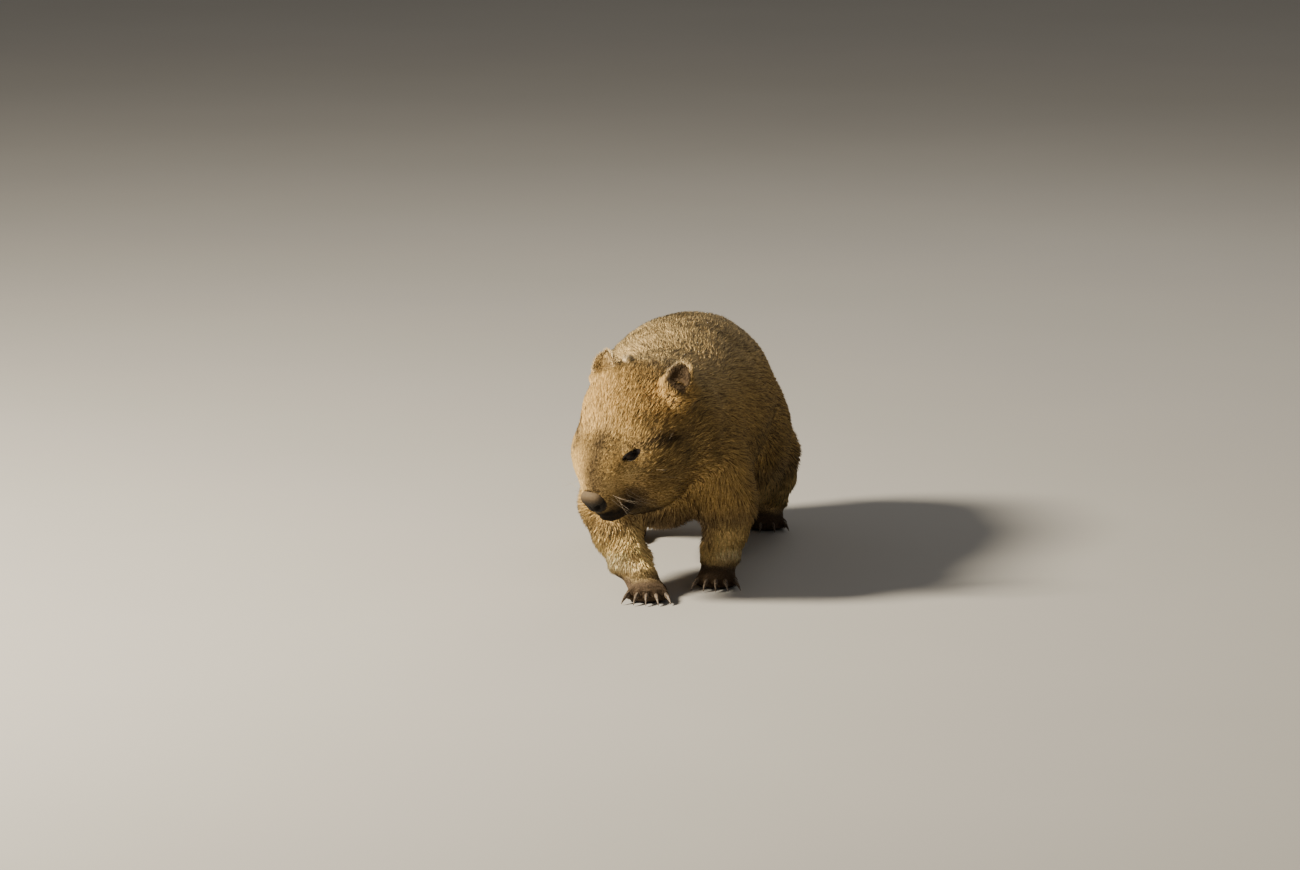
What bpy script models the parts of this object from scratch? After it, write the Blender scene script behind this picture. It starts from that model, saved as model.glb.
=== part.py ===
"""A life-size wombat in mid walk, its head lowered and turned to its right.

The animal faces -Y, its left side is +X and its soles stand on z = 0. All sizes are in metres and
reach out to the tips of the coat. The flesh is modelled whole, as one set of blended masses, and is
then parted with thin cuts into head, neck, trunk, tail, ears, legs and feet. Eyes, nose pad and
claws are pieces of their own, set into it.
"""

import math

import bmesh
import bpy
from mathutils import Matrix, Quaternion, Vector

# Trunk masses: centre and half sizes
TRUNK_MASSES = {
    "shoulders": ((-0.010, -0.070, 0.179), (0.096, 0.110, 0.099)),
    "barrel": ((-0.002, 0.090, 0.186), (0.112, 0.240, 0.104)),
    "loin": ((-0.001, 0.140, 0.190), (0.104, 0.160, 0.100)),
    "rump": ((-0.003, 0.240, 0.178), (0.101, 0.115, 0.102)),
    "buttocks": ((-0.003, 0.250, 0.142), (0.084, 0.096, 0.084)),
    "nape": ((-0.016, -0.135, 0.206), (0.086, 0.086, 0.078)),
    "throat": ((-0.034, -0.165, 0.150), (0.066, 0.052, 0.054)),
    "chest": ((-0.010, -0.080, 0.122), (0.058, 0.066, 0.060)),
    "belly": ((0.000, 0.070, 0.130), (0.088, 0.175, 0.076)),
    "tail": ((-0.004, 0.352, 0.172), (0.018, 0.022, 0.022)),
}

# Masses of a left side limb, mirrored for the right: sideways, along and up, then half sizes
SHOULDER = ((0.066, -0.095, 0.128), (0.038, 0.062, 0.064))
THIGH = ((0.079, 0.225, 0.124), (0.043, 0.094, 0.084))

# The head turns and nods about the point midway between the eyes
EYE_LINE = Vector((-0.0640, -0.225, 0.1800))
HEAD_TURN = math.radians(38)  # to the animal's right
HEAD_NOD = math.radians(38)  # nose down
# Masses of the head in its own axes, nose at -Y, from the eye line
HEAD_MASSES = {
    "cranium": ((0, 0.060, -0.012), (0.068, 0.066, 0.045)),
    "brow": ((0, 0.006, -0.006), (0.052, 0.046, 0.027)),
    "muzzle": ((0, -0.016, -0.028), (0.035, 0.034, 0.027)),
    "snout": ((0, -0.034, -0.035), (0.024, 0.0165, 0.026)),
    "jaw": ((0, -0.019, -0.060), (0.025, 0.033, 0.020)),
}
HEAD_SIDE_MASSES = {
    "cheek": ((0.044, 0.034, -0.027), (0.037, 0.047, 0.036)),
    "jowl": ((0.031, 0.066, -0.047), (0.038, 0.046, 0.034)),
}
EYE = Vector((0.0405, 0.0040, 0.0020))
EYE_RADIUS = 0.0092
NOSE_PAD = Vector((0, -0.0465, -0.0325))
NOSE_PAD_SIZE = Vector((0.0165, 0.0100, 0.0155))

# Ears stand up and a little outward from the back of the crown
EAR_BASE = Vector((0.058, 0.094, 0.014))
EAR_TIP = Vector((0.069, 0.122, 0.051))
EAR_HALF_WIDTH = 0.022
EAR_HALF_DEPTH = 0.012
EAR_FACING = Vector((0.05, -0.90, 0.35))  # where the ear's opening looks

# Each leg: joints from the shoulder or hip down, with the radius at each
LEGS = {
    "fore_right": [
        ((-0.072, -0.122, 0.100), 0.037),
        ((-0.058, -0.140, 0.070), 0.032),
        ((-0.041, -0.160, 0.042), 0.028),
        ((-0.024, -0.180, 0.022), 0.022),
    ],
    "fore_left": [
        ((0.074, -0.100, 0.100), 0.037),
        ((0.070, -0.094, 0.070), 0.031),
        ((0.064, -0.088, 0.042), 0.027),
        ((0.060, -0.088, 0.022), 0.022),
    ],
    "hind_right": [
        ((-0.088, 0.205, 0.100), 0.045),
        ((-0.088, 0.199, 0.070), 0.038),
        ((-0.084, 0.199, 0.042), 0.029),
        ((-0.080, 0.199, 0.022), 0.022),
    ],
    "hind_left": [
        ((0.088, 0.252, 0.100), 0.045),
        ((0.089, 0.268, 0.070), 0.038),
        ((0.087, 0.288, 0.042), 0.029),
        ((0.085, 0.294, 0.022), 0.022),
    ],
}
# Each foot: its middle, how far its toes turn to the animal's left, half width and half length
FEET = {
    "fore_right": ((-0.014, -0.201), math.radians(3), 0.026, 0.032),
    "fore_left": ((0.060, -0.108), math.radians(4), 0.026, 0.032),
    "hind_right": ((-0.080, 0.179), math.radians(-6), 0.026, 0.040),
    "hind_left": ((0.086, 0.275), math.radians(8), 0.026, 0.040),
}
FOOT_HEIGHT = 0.024
CLAWS = {"fore": (5, 0.024, 0.0040), "hind": (4, 0.019, 0.0035)}  # number, length, root radius
CLAW_REST = 0.0015  # height of the claw tips over the floor

# Where the whole is parted
EAR_CUT = 0.016
HEAD_BACK = 0.112
HEAD_UNDERSIDE = -0.092
NECK_CUT = Vector((0, -0.120, 0.240))
NECK_SLANT = math.radians(-30)
TAIL_CUT = 0.3555
WRIST_HEIGHT = 0.034
GAP = 0.0004

# Each leg lies in a wedge under the trunk: side, inner edge, height there, rise outward, front and back
LEG_REGIONS = {
    "fore_right": (-1, 0.030, 0.036, 0.55, -0.300, -0.030),
    "fore_left": (1, 0.0305, 0.046, 0.62, -0.300, -0.030),
    "hind_right": (-1, -0.034, 0.055, 0.80, 0.090, 0.420),
    "hind_left": (1, 0.034, 0.055, 0.80, 0.090, 0.420),
}

# How the masses blend: each has a field that falls to nothing at its edge
MESH_STEP = 0.004
STIFFNESS = 10.0
SURFACE = 0.25
REACH = math.sqrt(1 - (SURFACE / STIFFNESS) ** (1 / 3))  # where a lone mass ends, of its radius
FLESH_TRIANGLES = 4300

COATS = {
    "coat": ((0.20, 0.145, 0.085), 0.85),
    "ear_coat": ((0.33, 0.26, 0.17), 0.85),
    "foot_coat": ((0.085, 0.062, 0.042), 0.80),
    "eye": ((0.012, 0.008, 0.006), 0.08),
    "nose_pad": ((0.055, 0.040, 0.034), 0.45),
    "claw": ((0.16, 0.125, 0.09), 0.40),
}


def clear_scene():
    for obj in list(bpy.data.objects):
        bpy.data.objects.remove(obj)


def make_collection(name):
    collection = bpy.data.collections.new(name)
    bpy.context.scene.collection.children.link(collection)
    return collection


def make_material(name, kind):
    colour, roughness = COATS[kind]
    material = bpy.data.materials.new(name + "_" + kind)
    material.use_nodes = True
    shader = material.node_tree.nodes["Principled BSDF"]
    shader.inputs["Base Color"].default_value = (*colour, 1)
    shader.inputs["Roughness"].default_value = roughness
    shader.inputs["Metallic"].default_value = 0
    return material


def add_object(name, mesh, collection):
    obj = bpy.data.objects.new(name, mesh)
    collection.objects.link(obj)
    return obj


def add_cutter(name, mesh, collection):
    cutter = add_object(name, mesh, collection)
    cutter.hide_render = True
    cutter.display_type = "WIRE"
    return cutter


def shaped_mesh(name, work):
    mesh = bpy.data.meshes.new(name)
    bmesh.ops.recalc_face_normals(work, faces=work.faces)
    work.to_mesh(mesh)
    work.free()
    return mesh


def evaluated_mesh(obj):
    bpy.context.view_layer.update()
    graph = bpy.context.evaluated_depsgraph_get()
    return bpy.data.meshes.new_from_object(obj.evaluated_get(graph))


def head_matrix():
    """From the head's own axes to where the head is held."""
    turn = Matrix.Rotation(-HEAD_TURN, 4, "Z") @ Matrix.Rotation(HEAD_NOD, 4, "X")
    return Matrix.Translation(EYE_LINE) @ turn


# The flesh, whole


def add_mass(flesh, centre, half_sizes, turn=None, hollow=False):
    mass = flesh.elements.new(type="ELLIPSOID")
    mass.co = centre
    mass.radius = 1
    mass.size_x, mass.size_y, mass.size_z = [half / REACH for half in half_sizes]
    mass.stiffness = STIFFNESS
    mass.rotation = turn or Quaternion()
    mass.use_negative = hollow


def add_trunk(flesh):
    for centre, half_sizes in TRUNK_MASSES.values():
        add_mass(flesh, centre, half_sizes)
    for centre, half_sizes in (SHOULDER, THIGH):
        for side in (1, -1):
            add_mass(flesh, (side * centre[0], centre[1], centre[2]), half_sizes)


def add_head(flesh):
    held = head_matrix()
    turn = held.to_quaternion()
    for centre, half_sizes in HEAD_MASSES.values():
        add_mass(flesh, held @ Vector(centre), half_sizes, turn)
    for centre, half_sizes in HEAD_SIDE_MASSES.values():
        for side in (1, -1):
            mirrored = Vector((side * centre[0], centre[1], centre[2]))
            add_mass(flesh, held @ mirrored, half_sizes, turn)


def ear_matrix(side):
    """From an ear's own axes, with its tip at +Z and its opening at -Y, to where it stands."""
    mirror = Vector((side, 1, 1))
    base = EAR_BASE * mirror
    up = (EAR_TIP * mirror - base).normalized()
    facing = EAR_FACING * mirror
    back = -(facing - up * facing.dot(up)).normalized()
    axes = Matrix((back.cross(up), back, up)).transposed().to_4x4()
    return head_matrix() @ Matrix.Translation(base) @ axes


def add_ear(flesh, side):
    held = ear_matrix(side)
    turn = held.to_quaternion()
    height = (EAR_TIP - EAR_BASE).length
    blade = held @ Vector((0, 0, height * 0.42))
    add_mass(flesh, blade, (EAR_HALF_WIDTH, EAR_HALF_DEPTH, height * 0.60), turn)
    root = held @ Vector((0, 0.002, height * 0.10))
    add_mass(flesh, root, (EAR_HALF_WIDTH * 1.05, EAR_HALF_DEPTH * 1.2, height * 0.40), turn)
    hollow = held @ Vector((0, -EAR_HALF_DEPTH * 0.95, height * 0.55))
    add_mass(flesh, hollow, (EAR_HALF_WIDTH * 0.55, EAR_HALF_DEPTH * 0.8, height * 0.34), turn, True)


def add_leg(flesh, leg):
    for centre, radius in LEGS[leg]:
        add_mass(flesh, centre, (radius, radius, radius))


def foot_matrix(leg):
    middle, toes_out, half_width, half_length = FEET[leg]
    return Matrix.Translation((*middle, 0)) @ Matrix.Rotation(toes_out, 4, "Z")


def toe_places(leg):
    """Root of each claw in the foot's own axes, with the way its toe points."""
    middle, toes_out, half_width, half_length = FEET[leg]
    number = CLAWS[leg[:4]][0]
    places = []
    for toe in range(number):
        across = 2 * toe / (number - 1) - 1
        spread = across * math.radians(24)
        x = across * half_width * 0.80
        y = -half_length * (0.80 - 0.22 * across * across)
        places.append((Vector((x, y, 0.010)), spread))
    return places


def add_foot(flesh, leg):
    middle, toes_out, half_width, half_length = FEET[leg]
    held = foot_matrix(leg)
    turn = held.to_quaternion()
    half_height = FOOT_HEIGHT * 0.62
    centre = held @ Vector((0, 0, FOOT_HEIGHT - half_height))
    add_mass(flesh, centre, (half_width, half_length, half_height), turn)
    for root, spread in toe_places(leg):
        toe = held @ (root + Vector((0, 0.004, -0.001)))
        add_mass(flesh, toe, (0.0075, 0.012, 0.0085), turn @ Quaternion((0, 0, 1), spread))


def make_whole_flesh(pieces, cutters):
    field = bpy.data.metaballs.new("flesh_masses")
    field.resolution = MESH_STEP
    field.render_resolution = MESH_STEP
    field.threshold = SURFACE
    add_trunk(field)
    add_head(field)
    for side in (1, -1):
        add_ear(field, side)
    for leg in LEGS:
        add_leg(field, leg)
        add_foot(field, leg)
    masses = add_object("flesh_masses", field, cutters)
    mesh = evaluated_mesh(masses)
    bpy.data.objects.remove(masses)
    whole = add_object("trunk", mesh, pieces)
    weld(mesh)
    thin_out(whole, FLESH_TRIANGLES)
    below = box_cutter("below_floor", (-1, -1, -1), (1, 1, 0), Matrix(), cutters)
    cut(whole, below, "DIFFERENCE")
    return whole


def weld(mesh):
    work = bmesh.new()
    work.from_mesh(mesh)
    bmesh.ops.remove_doubles(work, verts=work.verts, dist=0.00001)
    bmesh.ops.recalc_face_normals(work, faces=work.faces)
    work.to_mesh(mesh)
    work.free()


def thin_out(obj, triangles):
    """Smooth the stepped surface and bring it down to about this many triangles."""
    smooth = obj.modifiers.new("smooth", "SMOOTH")
    smooth.factor = 0.5
    smooth.iterations = 5
    triangulate = obj.modifiers.new("triangulate", "TRIANGULATE")
    triangulate.quad_method = "BEAUTY"
    full = evaluated_mesh(obj)
    decimate = obj.modifiers.new("decimate", "DECIMATE")
    decimate.ratio = triangles / len(full.polygons)
    apply_modifiers(obj)


def apply_modifiers(obj):
    mesh = evaluated_mesh(obj)
    obj.modifiers.clear()
    obj.data = mesh


# Cuts


def cut(obj, cutter, operation):
    boolean = obj.modifiers.new("cut", "BOOLEAN")
    boolean.operation = operation
    boolean.object = cutter
    boolean.solver = "EXACT"
    apply_modifiers(obj)


def keep_largest_body(obj):
    """Leave out the crumbs that a cut can break off."""
    work = bmesh.new()
    work.from_mesh(obj.data)
    unseen = set(work.verts)
    bodies = []
    while unseen:
        front = [unseen.pop()]
        body = list(front)
        while front:
            vert = front.pop()
            near = {edge.other_vert(vert) for edge in vert.link_edges} & unseen
            unseen -= near
            front.extend(near)
            body.extend(near)
        bodies.append(body)
    bodies.sort(key=len)
    for body in bodies[:-1]:
        bmesh.ops.delete(work, geom=body, context="VERTS")
    work.to_mesh(obj.data)
    work.free()


def grown_copy(cutter, cutters):
    """The same convex cutter with every face moved out by the gap."""
    work = bmesh.new()
    work.from_mesh(cutter.data)
    work.normal_update()
    shifts = [(vert, vert.normal * GAP * vert.calc_shell_factor()) for vert in work.verts]
    for vert, shift in shifts:
        vert.co += shift
    return add_cutter(cutter.name + "_gap", shaped_mesh(cutter.name + "_gap", work), cutters)


def box_cutter(name, low, high, held, cutters):
    """A box between two corners, in the axes given."""
    size = Vector(high) - Vector(low)
    middle = (Vector(high) + Vector(low)) / 2
    work = bmesh.new()
    stretch = Matrix.Diagonal((*size, 1))
    bmesh.ops.create_cube(work, size=1, matrix=held @ Matrix.Translation(middle) @ stretch)
    return add_cutter(name, shaped_mesh(name, work), cutters)


def hull_cutter(name, corners, cutters):
    work = bmesh.new()
    for corner in corners:
        work.verts.new(corner)
    bmesh.ops.convex_hull(work, input=work.verts)
    flat = math.radians(1)
    bmesh.ops.dissolve_limit(work, angle_limit=flat, verts=work.verts, edges=work.edges)
    return add_cutter(name, shaped_mesh(name, work), cutters)


def part_off(whole, cutter, name, pieces, cutters):
    """Take what lies in the cutter off the whole as a new piece, with a thin gap between them."""
    piece = add_object(name, whole.data.copy(), pieces)
    cut(piece, cutter, "INTERSECT")
    cut(whole, grown_copy(cutter, cutters), "DIFFERENCE")
    keep_largest_body(piece)
    keep_largest_body(whole)
    return piece


def leg_region(leg, cutters):
    """A wedge under one side of the trunk whose top climbs outward."""
    side, inner, inner_top, rise, front, back = LEG_REGIONS[leg]
    outer = side * 0.25
    outer_top = inner_top + rise * abs(outer - inner)
    corners = []
    for y in (front, back):
        corners.extend([(inner, y, -0.05), (outer, y, -0.05), (inner, y, inner_top), (outer, y, outer_top)])
    return hull_cutter(leg + "_region", corners, cutters)


def part_legs(whole, pieces, cutters):
    legs = {}
    for leg in LEG_REGIONS:
        limb = part_off(whole, leg_region(leg, cutters), leg.replace("_", "leg_"), pieces, cutters)
        sole = box_cutter(leg + "_sole", (-1, -1, -1), (1, 1, WRIST_HEIGHT), Matrix(), cutters)
        foot = part_off(limb, sole, leg.replace("_", "foot_"), pieces, cutters)
        legs[leg] = (limb, foot)
    return legs


def part_tail(whole, pieces, cutters):
    region = box_cutter("tail_region", (-0.1, TAIL_CUT, 0.05), (0.1, 0.5, 0.3), Matrix(), cutters)
    return part_off(whole, region, "tail", pieces, cutters)


def part_head(whole, pieces, cutters):
    """The head ends at a cut behind the skull and another under the jaw."""
    region = box_cutter(
        "head_region", (-0.15, -0.15, HEAD_UNDERSIDE), (0.15, HEAD_BACK, 0.15), head_matrix(), cutters
    )
    return part_off(whole, region, "head", pieces, cutters)


def part_neck(whole, pieces, cutters):
    """The neck runs from the head back to a slanting cut before the shoulders."""
    slant = Matrix.Translation(NECK_CUT) @ Matrix.Rotation(NECK_SLANT, 4, "X")
    region = box_cutter("neck_region", (-0.5, -0.5, -0.5), (0.5, 0, 0.5), slant, cutters)
    return part_off(whole, region, "neck", pieces, cutters)


def part_ears(whole, pieces, cutters):
    ears = {}
    for side, name in ((1, "left"), (-1, "right")):
        region = box_cutter(
            "ear_region_" + name, (-0.026, -0.02, EAR_CUT), (0.026, 0.0155, 0.1), ear_matrix(side), cutters
        )
        ears[name] = part_off(whole, region, "ear_" + name, pieces, cutters)
    return ears


# Pieces set into the flesh


def ball_mesh(name, matrix, half_sizes, grown, sides=12, rings=8):
    sizes = [half + grown for half in half_sizes]
    work = bmesh.new()
    stretch = Matrix.Diagonal((*sizes, 1))
    bmesh.ops.create_uvsphere(
        work, u_segments=sides, v_segments=rings, radius=1, matrix=matrix @ stretch
    )
    return shaped_mesh(name, work)


def set_in_ball(name, matrix, half_sizes, seat, pieces, cutters):
    ball = add_object(name, ball_mesh(name, matrix, half_sizes, 0), pieces)
    socket = add_cutter(name + "_socket", ball_mesh(name + "_socket", matrix, half_sizes, GAP), cutters)
    cut(seat, socket, "DIFFERENCE")
    keep_largest_body(seat)
    return ball


def claw_mesh(name, matrix, length, radius, grown, cutters):
    """A horn that arches forward and down from its root, thinning to a blunt tip."""
    curve = bpy.data.curves.new(name, "CURVE")
    curve.dimensions = "3D"
    curve.bevel_depth = radius + grown
    curve.bevel_resolution = 1
    curve.use_fill_caps = True
    curve.resolution_u = 1
    spline = curve.splines.new("POLY")
    steps = 5
    spline.points.add(steps)
    for step, point in enumerate(spline.points):
        share = step / steps
        forward = length * math.sin(share * math.pi / 2.4) / math.sin(math.pi / 2.4)
        drop = (0.010 - CLAW_REST - radius * 0.25) * share ** 2.2
        thickness = radius * (1 - 0.75 * share ** 1.5)
        point.co = (0, -forward, -drop, 1)
        point.radius = (thickness + grown) / (radius + grown)
    horn = add_object(name + "_curve", curve, cutters)
    mesh = evaluated_mesh(horn)
    bpy.data.objects.remove(horn)
    mesh.transform(matrix)
    weld(mesh)
    return mesh


def set_in_claws(leg, foot, pieces, cutters):
    number, length, radius = CLAWS[leg[:4]]
    claws = []
    for toe, (root, spread) in enumerate(toe_places(leg), 1):
        held = foot_matrix(leg) @ Matrix.Translation(root) @ Matrix.Rotation(spread, 4, "Z")
        name = leg + "_claw_" + str(toe)
        claw = add_object(name, claw_mesh(name, held, length, radius, 0, cutters), pieces)
        wide = claw_mesh(name + "_socket", held, length, radius, GAP, cutters)
        back = Matrix.Translation(held.to_3x3() @ Vector((0, GAP, 0)))
        wide.transform(back)
        cut(foot, add_cutter(name + "_socket", wide, cutters), "DIFFERENCE")
        keep_largest_body(foot)
        claws.append(claw)
    return claws


def centre_pieces(pieces):
    """Bring the middle of the whole animal's box to x = 0 and y = 0."""
    corners = [vert.co for obj in pieces.objects for vert in obj.data.vertices]
    shift = [0.0, 0.0]
    for axis in (0, 1):
        values = [corner[axis] for corner in corners]
        shift[axis] = -(min(values) + max(values)) / 2
    for obj in pieces.objects:
        obj.data.transform(Matrix.Translation((*shift, 0)))


def colour(obj, kind):
    obj.data.materials.clear()
    obj.data.materials.append(make_material(obj.name, kind))


def main():
    clear_scene()
    pieces = make_collection("wombat")
    cutters = make_collection("wombat_cutters")
    trunk = make_whole_flesh(pieces, cutters)
    ears = part_ears(trunk, pieces, cutters)
    head = part_head(trunk, pieces, cutters)
    legs = part_legs(trunk, pieces, cutters)
    tail = part_tail(trunk, pieces, cutters)
    neck = part_neck(trunk, pieces, cutters)
    held = head_matrix()
    for side, name in ((1, "eye_left"), (-1, "eye_right")):
        place = held @ Matrix.Translation(EYE * Vector((side, 1, 1)))
        eye = set_in_ball(name, place, (EYE_RADIUS,) * 3, head, pieces, cutters)
        colour(eye, "eye")
    place = held @ Matrix.Translation(NOSE_PAD)
    colour(set_in_ball("nose", place, NOSE_PAD_SIZE, head, pieces, cutters), "nose_pad")
    for leg, (limb, foot) in legs.items():
        for claw in set_in_claws(leg, foot, pieces, cutters):
            colour(claw, "claw")
        colour(limb, "coat")
        colour(foot, "foot_coat")
    for obj in (trunk, tail, neck, head):
        colour(obj, "coat")
    for ear in ears.values():
        colour(ear, "ear_coat")
    centre_pieces(pieces)


main()
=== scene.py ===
import math

import bmesh
import bpy
import numpy as np
from mathutils import Matrix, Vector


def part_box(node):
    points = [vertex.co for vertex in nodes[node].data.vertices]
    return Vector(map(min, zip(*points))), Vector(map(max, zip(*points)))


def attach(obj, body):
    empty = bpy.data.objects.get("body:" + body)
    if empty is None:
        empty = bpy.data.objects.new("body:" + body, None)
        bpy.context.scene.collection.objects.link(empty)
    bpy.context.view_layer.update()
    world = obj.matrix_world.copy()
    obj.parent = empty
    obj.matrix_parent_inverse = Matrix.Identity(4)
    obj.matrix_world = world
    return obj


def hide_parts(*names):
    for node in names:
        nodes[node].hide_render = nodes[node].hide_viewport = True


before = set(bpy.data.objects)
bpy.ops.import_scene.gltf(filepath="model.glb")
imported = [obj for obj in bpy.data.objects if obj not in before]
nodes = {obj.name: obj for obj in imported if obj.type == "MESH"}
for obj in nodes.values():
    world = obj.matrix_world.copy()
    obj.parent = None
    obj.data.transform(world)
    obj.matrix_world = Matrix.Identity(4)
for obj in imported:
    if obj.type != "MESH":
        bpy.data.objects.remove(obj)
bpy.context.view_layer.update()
chance = np.random.default_rng(7)
print("frame loaded:", len(nodes), "solids")


# Small tools


def unit(vectors):  # each row at length one
    return vectors / np.maximum(np.linalg.norm(vectors, axis=-1, keepdims=True), 1e-12)


def ramp(low, high, values):  # 0 below low, 1 above high, with a smooth S between them
    share = np.clip((values - low) / (high - low), 0, 1)
    return share * share * (3 - 2 * share)


def mix(first, second, share):  # numbers, one for each point
    return first + (second - first) * share


def mixColour(first, second, share):  # colours or directions, with one share for each point
    first, second = np.asarray(first, float), np.asarray(second, float)
    return first + (second - first) * np.asarray(share)[..., None]


def layered(values, first, steps):  # the first value, then each next one mixed in by its share
    total = np.full(len(steps[0][1]), values[first])
    for name, share in steps:
        total = mix(total, values[name], share)
    return total


def spot(points, middle, half):  # exp(-d^2), where d is the distance from the middle in half sizes
    return np.exp(-np.linalg.norm((points - np.array(middle)) / np.array(half), axis=1) ** 2)


def bell(values, middle, half):  # exp(-d^2) along one line
    return np.exp(-((values - middle) / half) ** 2)


def boxMiddle(node):
    low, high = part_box(node)
    return (np.array(low) + np.array(high)) / 2


# Smooth noise from -1 to 1: random values on a wrapped grid of cells, blended between the corners
noiseCells, noiseShift = 32, 11.3
noiseGrid = np.random.default_rng(3).uniform(-1, 1, (noiseCells, noiseCells, noiseCells))


def noise(points, size):
    place = points / size + noiseShift
    cell = np.floor(place).astype(int)
    part = place - cell
    part = part * part * (3 - 2 * part)
    total = np.zeros(len(points))
    for corner in np.ndindex(2, 2, 2):
        at = (cell + corner) % noiseCells
        weight = np.prod(np.where(np.array(corner) == 1, part, 1 - part), axis=1)
        total += weight * noiseGrid[at[:, 0], at[:, 1], at[:, 2]]
    return total


def makeObject(name, points, faces):
    mesh = bpy.data.meshes.new(name)
    faces = np.asarray(faces)
    sides = faces.shape[1]
    mesh.vertices.add(len(points))
    mesh.vertices.foreach_set("co", np.asarray(points, np.float32).ravel())
    mesh.loops.add(faces.size)
    mesh.polygons.add(len(faces))
    mesh.loops.foreach_set("vertex_index", faces.astype(np.int32).ravel())
    mesh.polygons.foreach_set("loop_start", np.arange(0, faces.size, sides, dtype=np.int32))
    mesh.update(calc_edges=True)
    mesh.polygons.foreach_set("use_smooth", np.full(len(faces), True))
    mesh.validate()
    obj = bpy.data.objects.new(name, mesh)
    bpy.context.scene.collection.objects.link(obj)
    return obj


def readMesh(mesh):  # points and faces, all of which have as many sides as the first
    points = np.empty(len(mesh.vertices) * 3, np.float32)
    mesh.vertices.foreach_get("co", points)
    faces = np.empty(len(mesh.loops), np.int32)
    mesh.loops.foreach_get("vertex_index", faces)
    return points.reshape(-1, 3).astype(float), faces.reshape(len(mesh.polygons), -1)


def facesOutward(obj):  # turn the faces of a closed piece the right way out
    work = bmesh.new()
    work.from_mesh(obj.data)
    bmesh.ops.remove_doubles(work, verts=work.verts, dist=0.000002)
    bmesh.ops.recalc_face_normals(work, faces=work.faces)
    work.to_mesh(obj.data)
    work.free()
    obj.data.polygons.foreach_set("use_smooth", np.full(len(obj.data.polygons), True))
    return obj


def addColours(obj, name, colours):  # one colour for each vertex
    layer = obj.data.attributes.new(name, "FLOAT_COLOR", "POINT")
    full = np.ones((len(colours), 4), np.float32)
    full[:, :3] = colours
    layer.data.foreach_set("color", full.ravel())


def gridFaces(rows, columns, wrapRows=False, wrapColumns=True):
    # quads of a grid of points kept row after row
    i = np.arange(rows if wrapRows else rows - 1)
    j = np.arange(columns if wrapColumns else columns - 1)
    i, j = np.meshgrid(i, j, indexing="ij")
    nextI, nextJ = (i + 1) % rows, (j + 1) % columns
    corners = [i * columns + j, i * columns + nextJ, nextI * columns + nextJ, nextI * columns + j]
    return np.stack(corners, -1).reshape(-1, 4)


def halved(quads):  # two triangles for each quad
    return np.concatenate([quads[:, [0, 1, 2]], quads[:, [0, 2, 3]]])


def capFaces(rows, columns):  # quads that close the first and the last row of a grid
    j = np.arange(columns // 2 - 1)
    first = np.stack([j, j + 1, columns - 2 - j, columns - 1 - j], axis=1)
    return np.concatenate([first, first[:, ::-1] + (rows - 1) * columns])


# The head's own axes: x to the animal's left, y back, z up, from midway between the eyes
headPose = {"turn": 38.0, "nod": 38.0, "eye": (0.0405, 0.0040, 0.0020)}
turn, nod = math.radians(headPose["turn"]), math.radians(headPose["nod"])
headAxes = np.array([
    [math.cos(turn), math.sin(turn) * math.cos(nod), -math.sin(turn) * math.sin(nod)],
    [-math.sin(turn), math.cos(turn) * math.cos(nod), -math.cos(turn) * math.sin(nod)],
    [0.0, math.sin(nod), math.cos(nod)],
])
eyesMiddle = (boxMiddle("eye_left") + boxMiddle("eye_right")) / 2
headOrigin = eyesMiddle - headAxes @ np.array([0, headPose["eye"][1], headPose["eye"][2]])


def toHead(points):
    return (points - headOrigin) @ headAxes


def fromHead(points):
    return np.asarray(points) @ headAxes.T + headOrigin


# Ears: a cup whose cross section is an arc open to the front, narrowing to a rounded tip
earShape = {
    "base": (0.058, 0.094, 0.014), "tip": (0.069, 0.122, 0.051),
    "facingLeft": (0.10, -0.90, 0.35), "facingRight": (0.16, -0.87, 0.40),
    "width": 0.0190, "cup": 0.0120, "wall": 0.0046, "back": 0.0070, "low": -0.010, "high": 0.0405,
    "sweep": 1.75, "lean": 0.004, "roundness": 4.5, "narrowing": 0.05, "thinnest": (0.0008, 0.0006),
}


def earAxes(side):  # columns: across, back, up
    mirror = np.array([side, 1, 1])
    base = np.array(earShape["base"]) * mirror
    up = unit(np.array(earShape["tip"]) * mirror - base)
    facing = np.array(earShape["facingLeft" if side > 0 else "facingRight"])
    back = -unit(facing - up * facing.dot(up))
    return base, np.stack([np.cross(back, up), back, up], axis=1)


def toEar(headPoints, side):
    base, axes = earAxes(side)
    return (headPoints - base) @ axes


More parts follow.
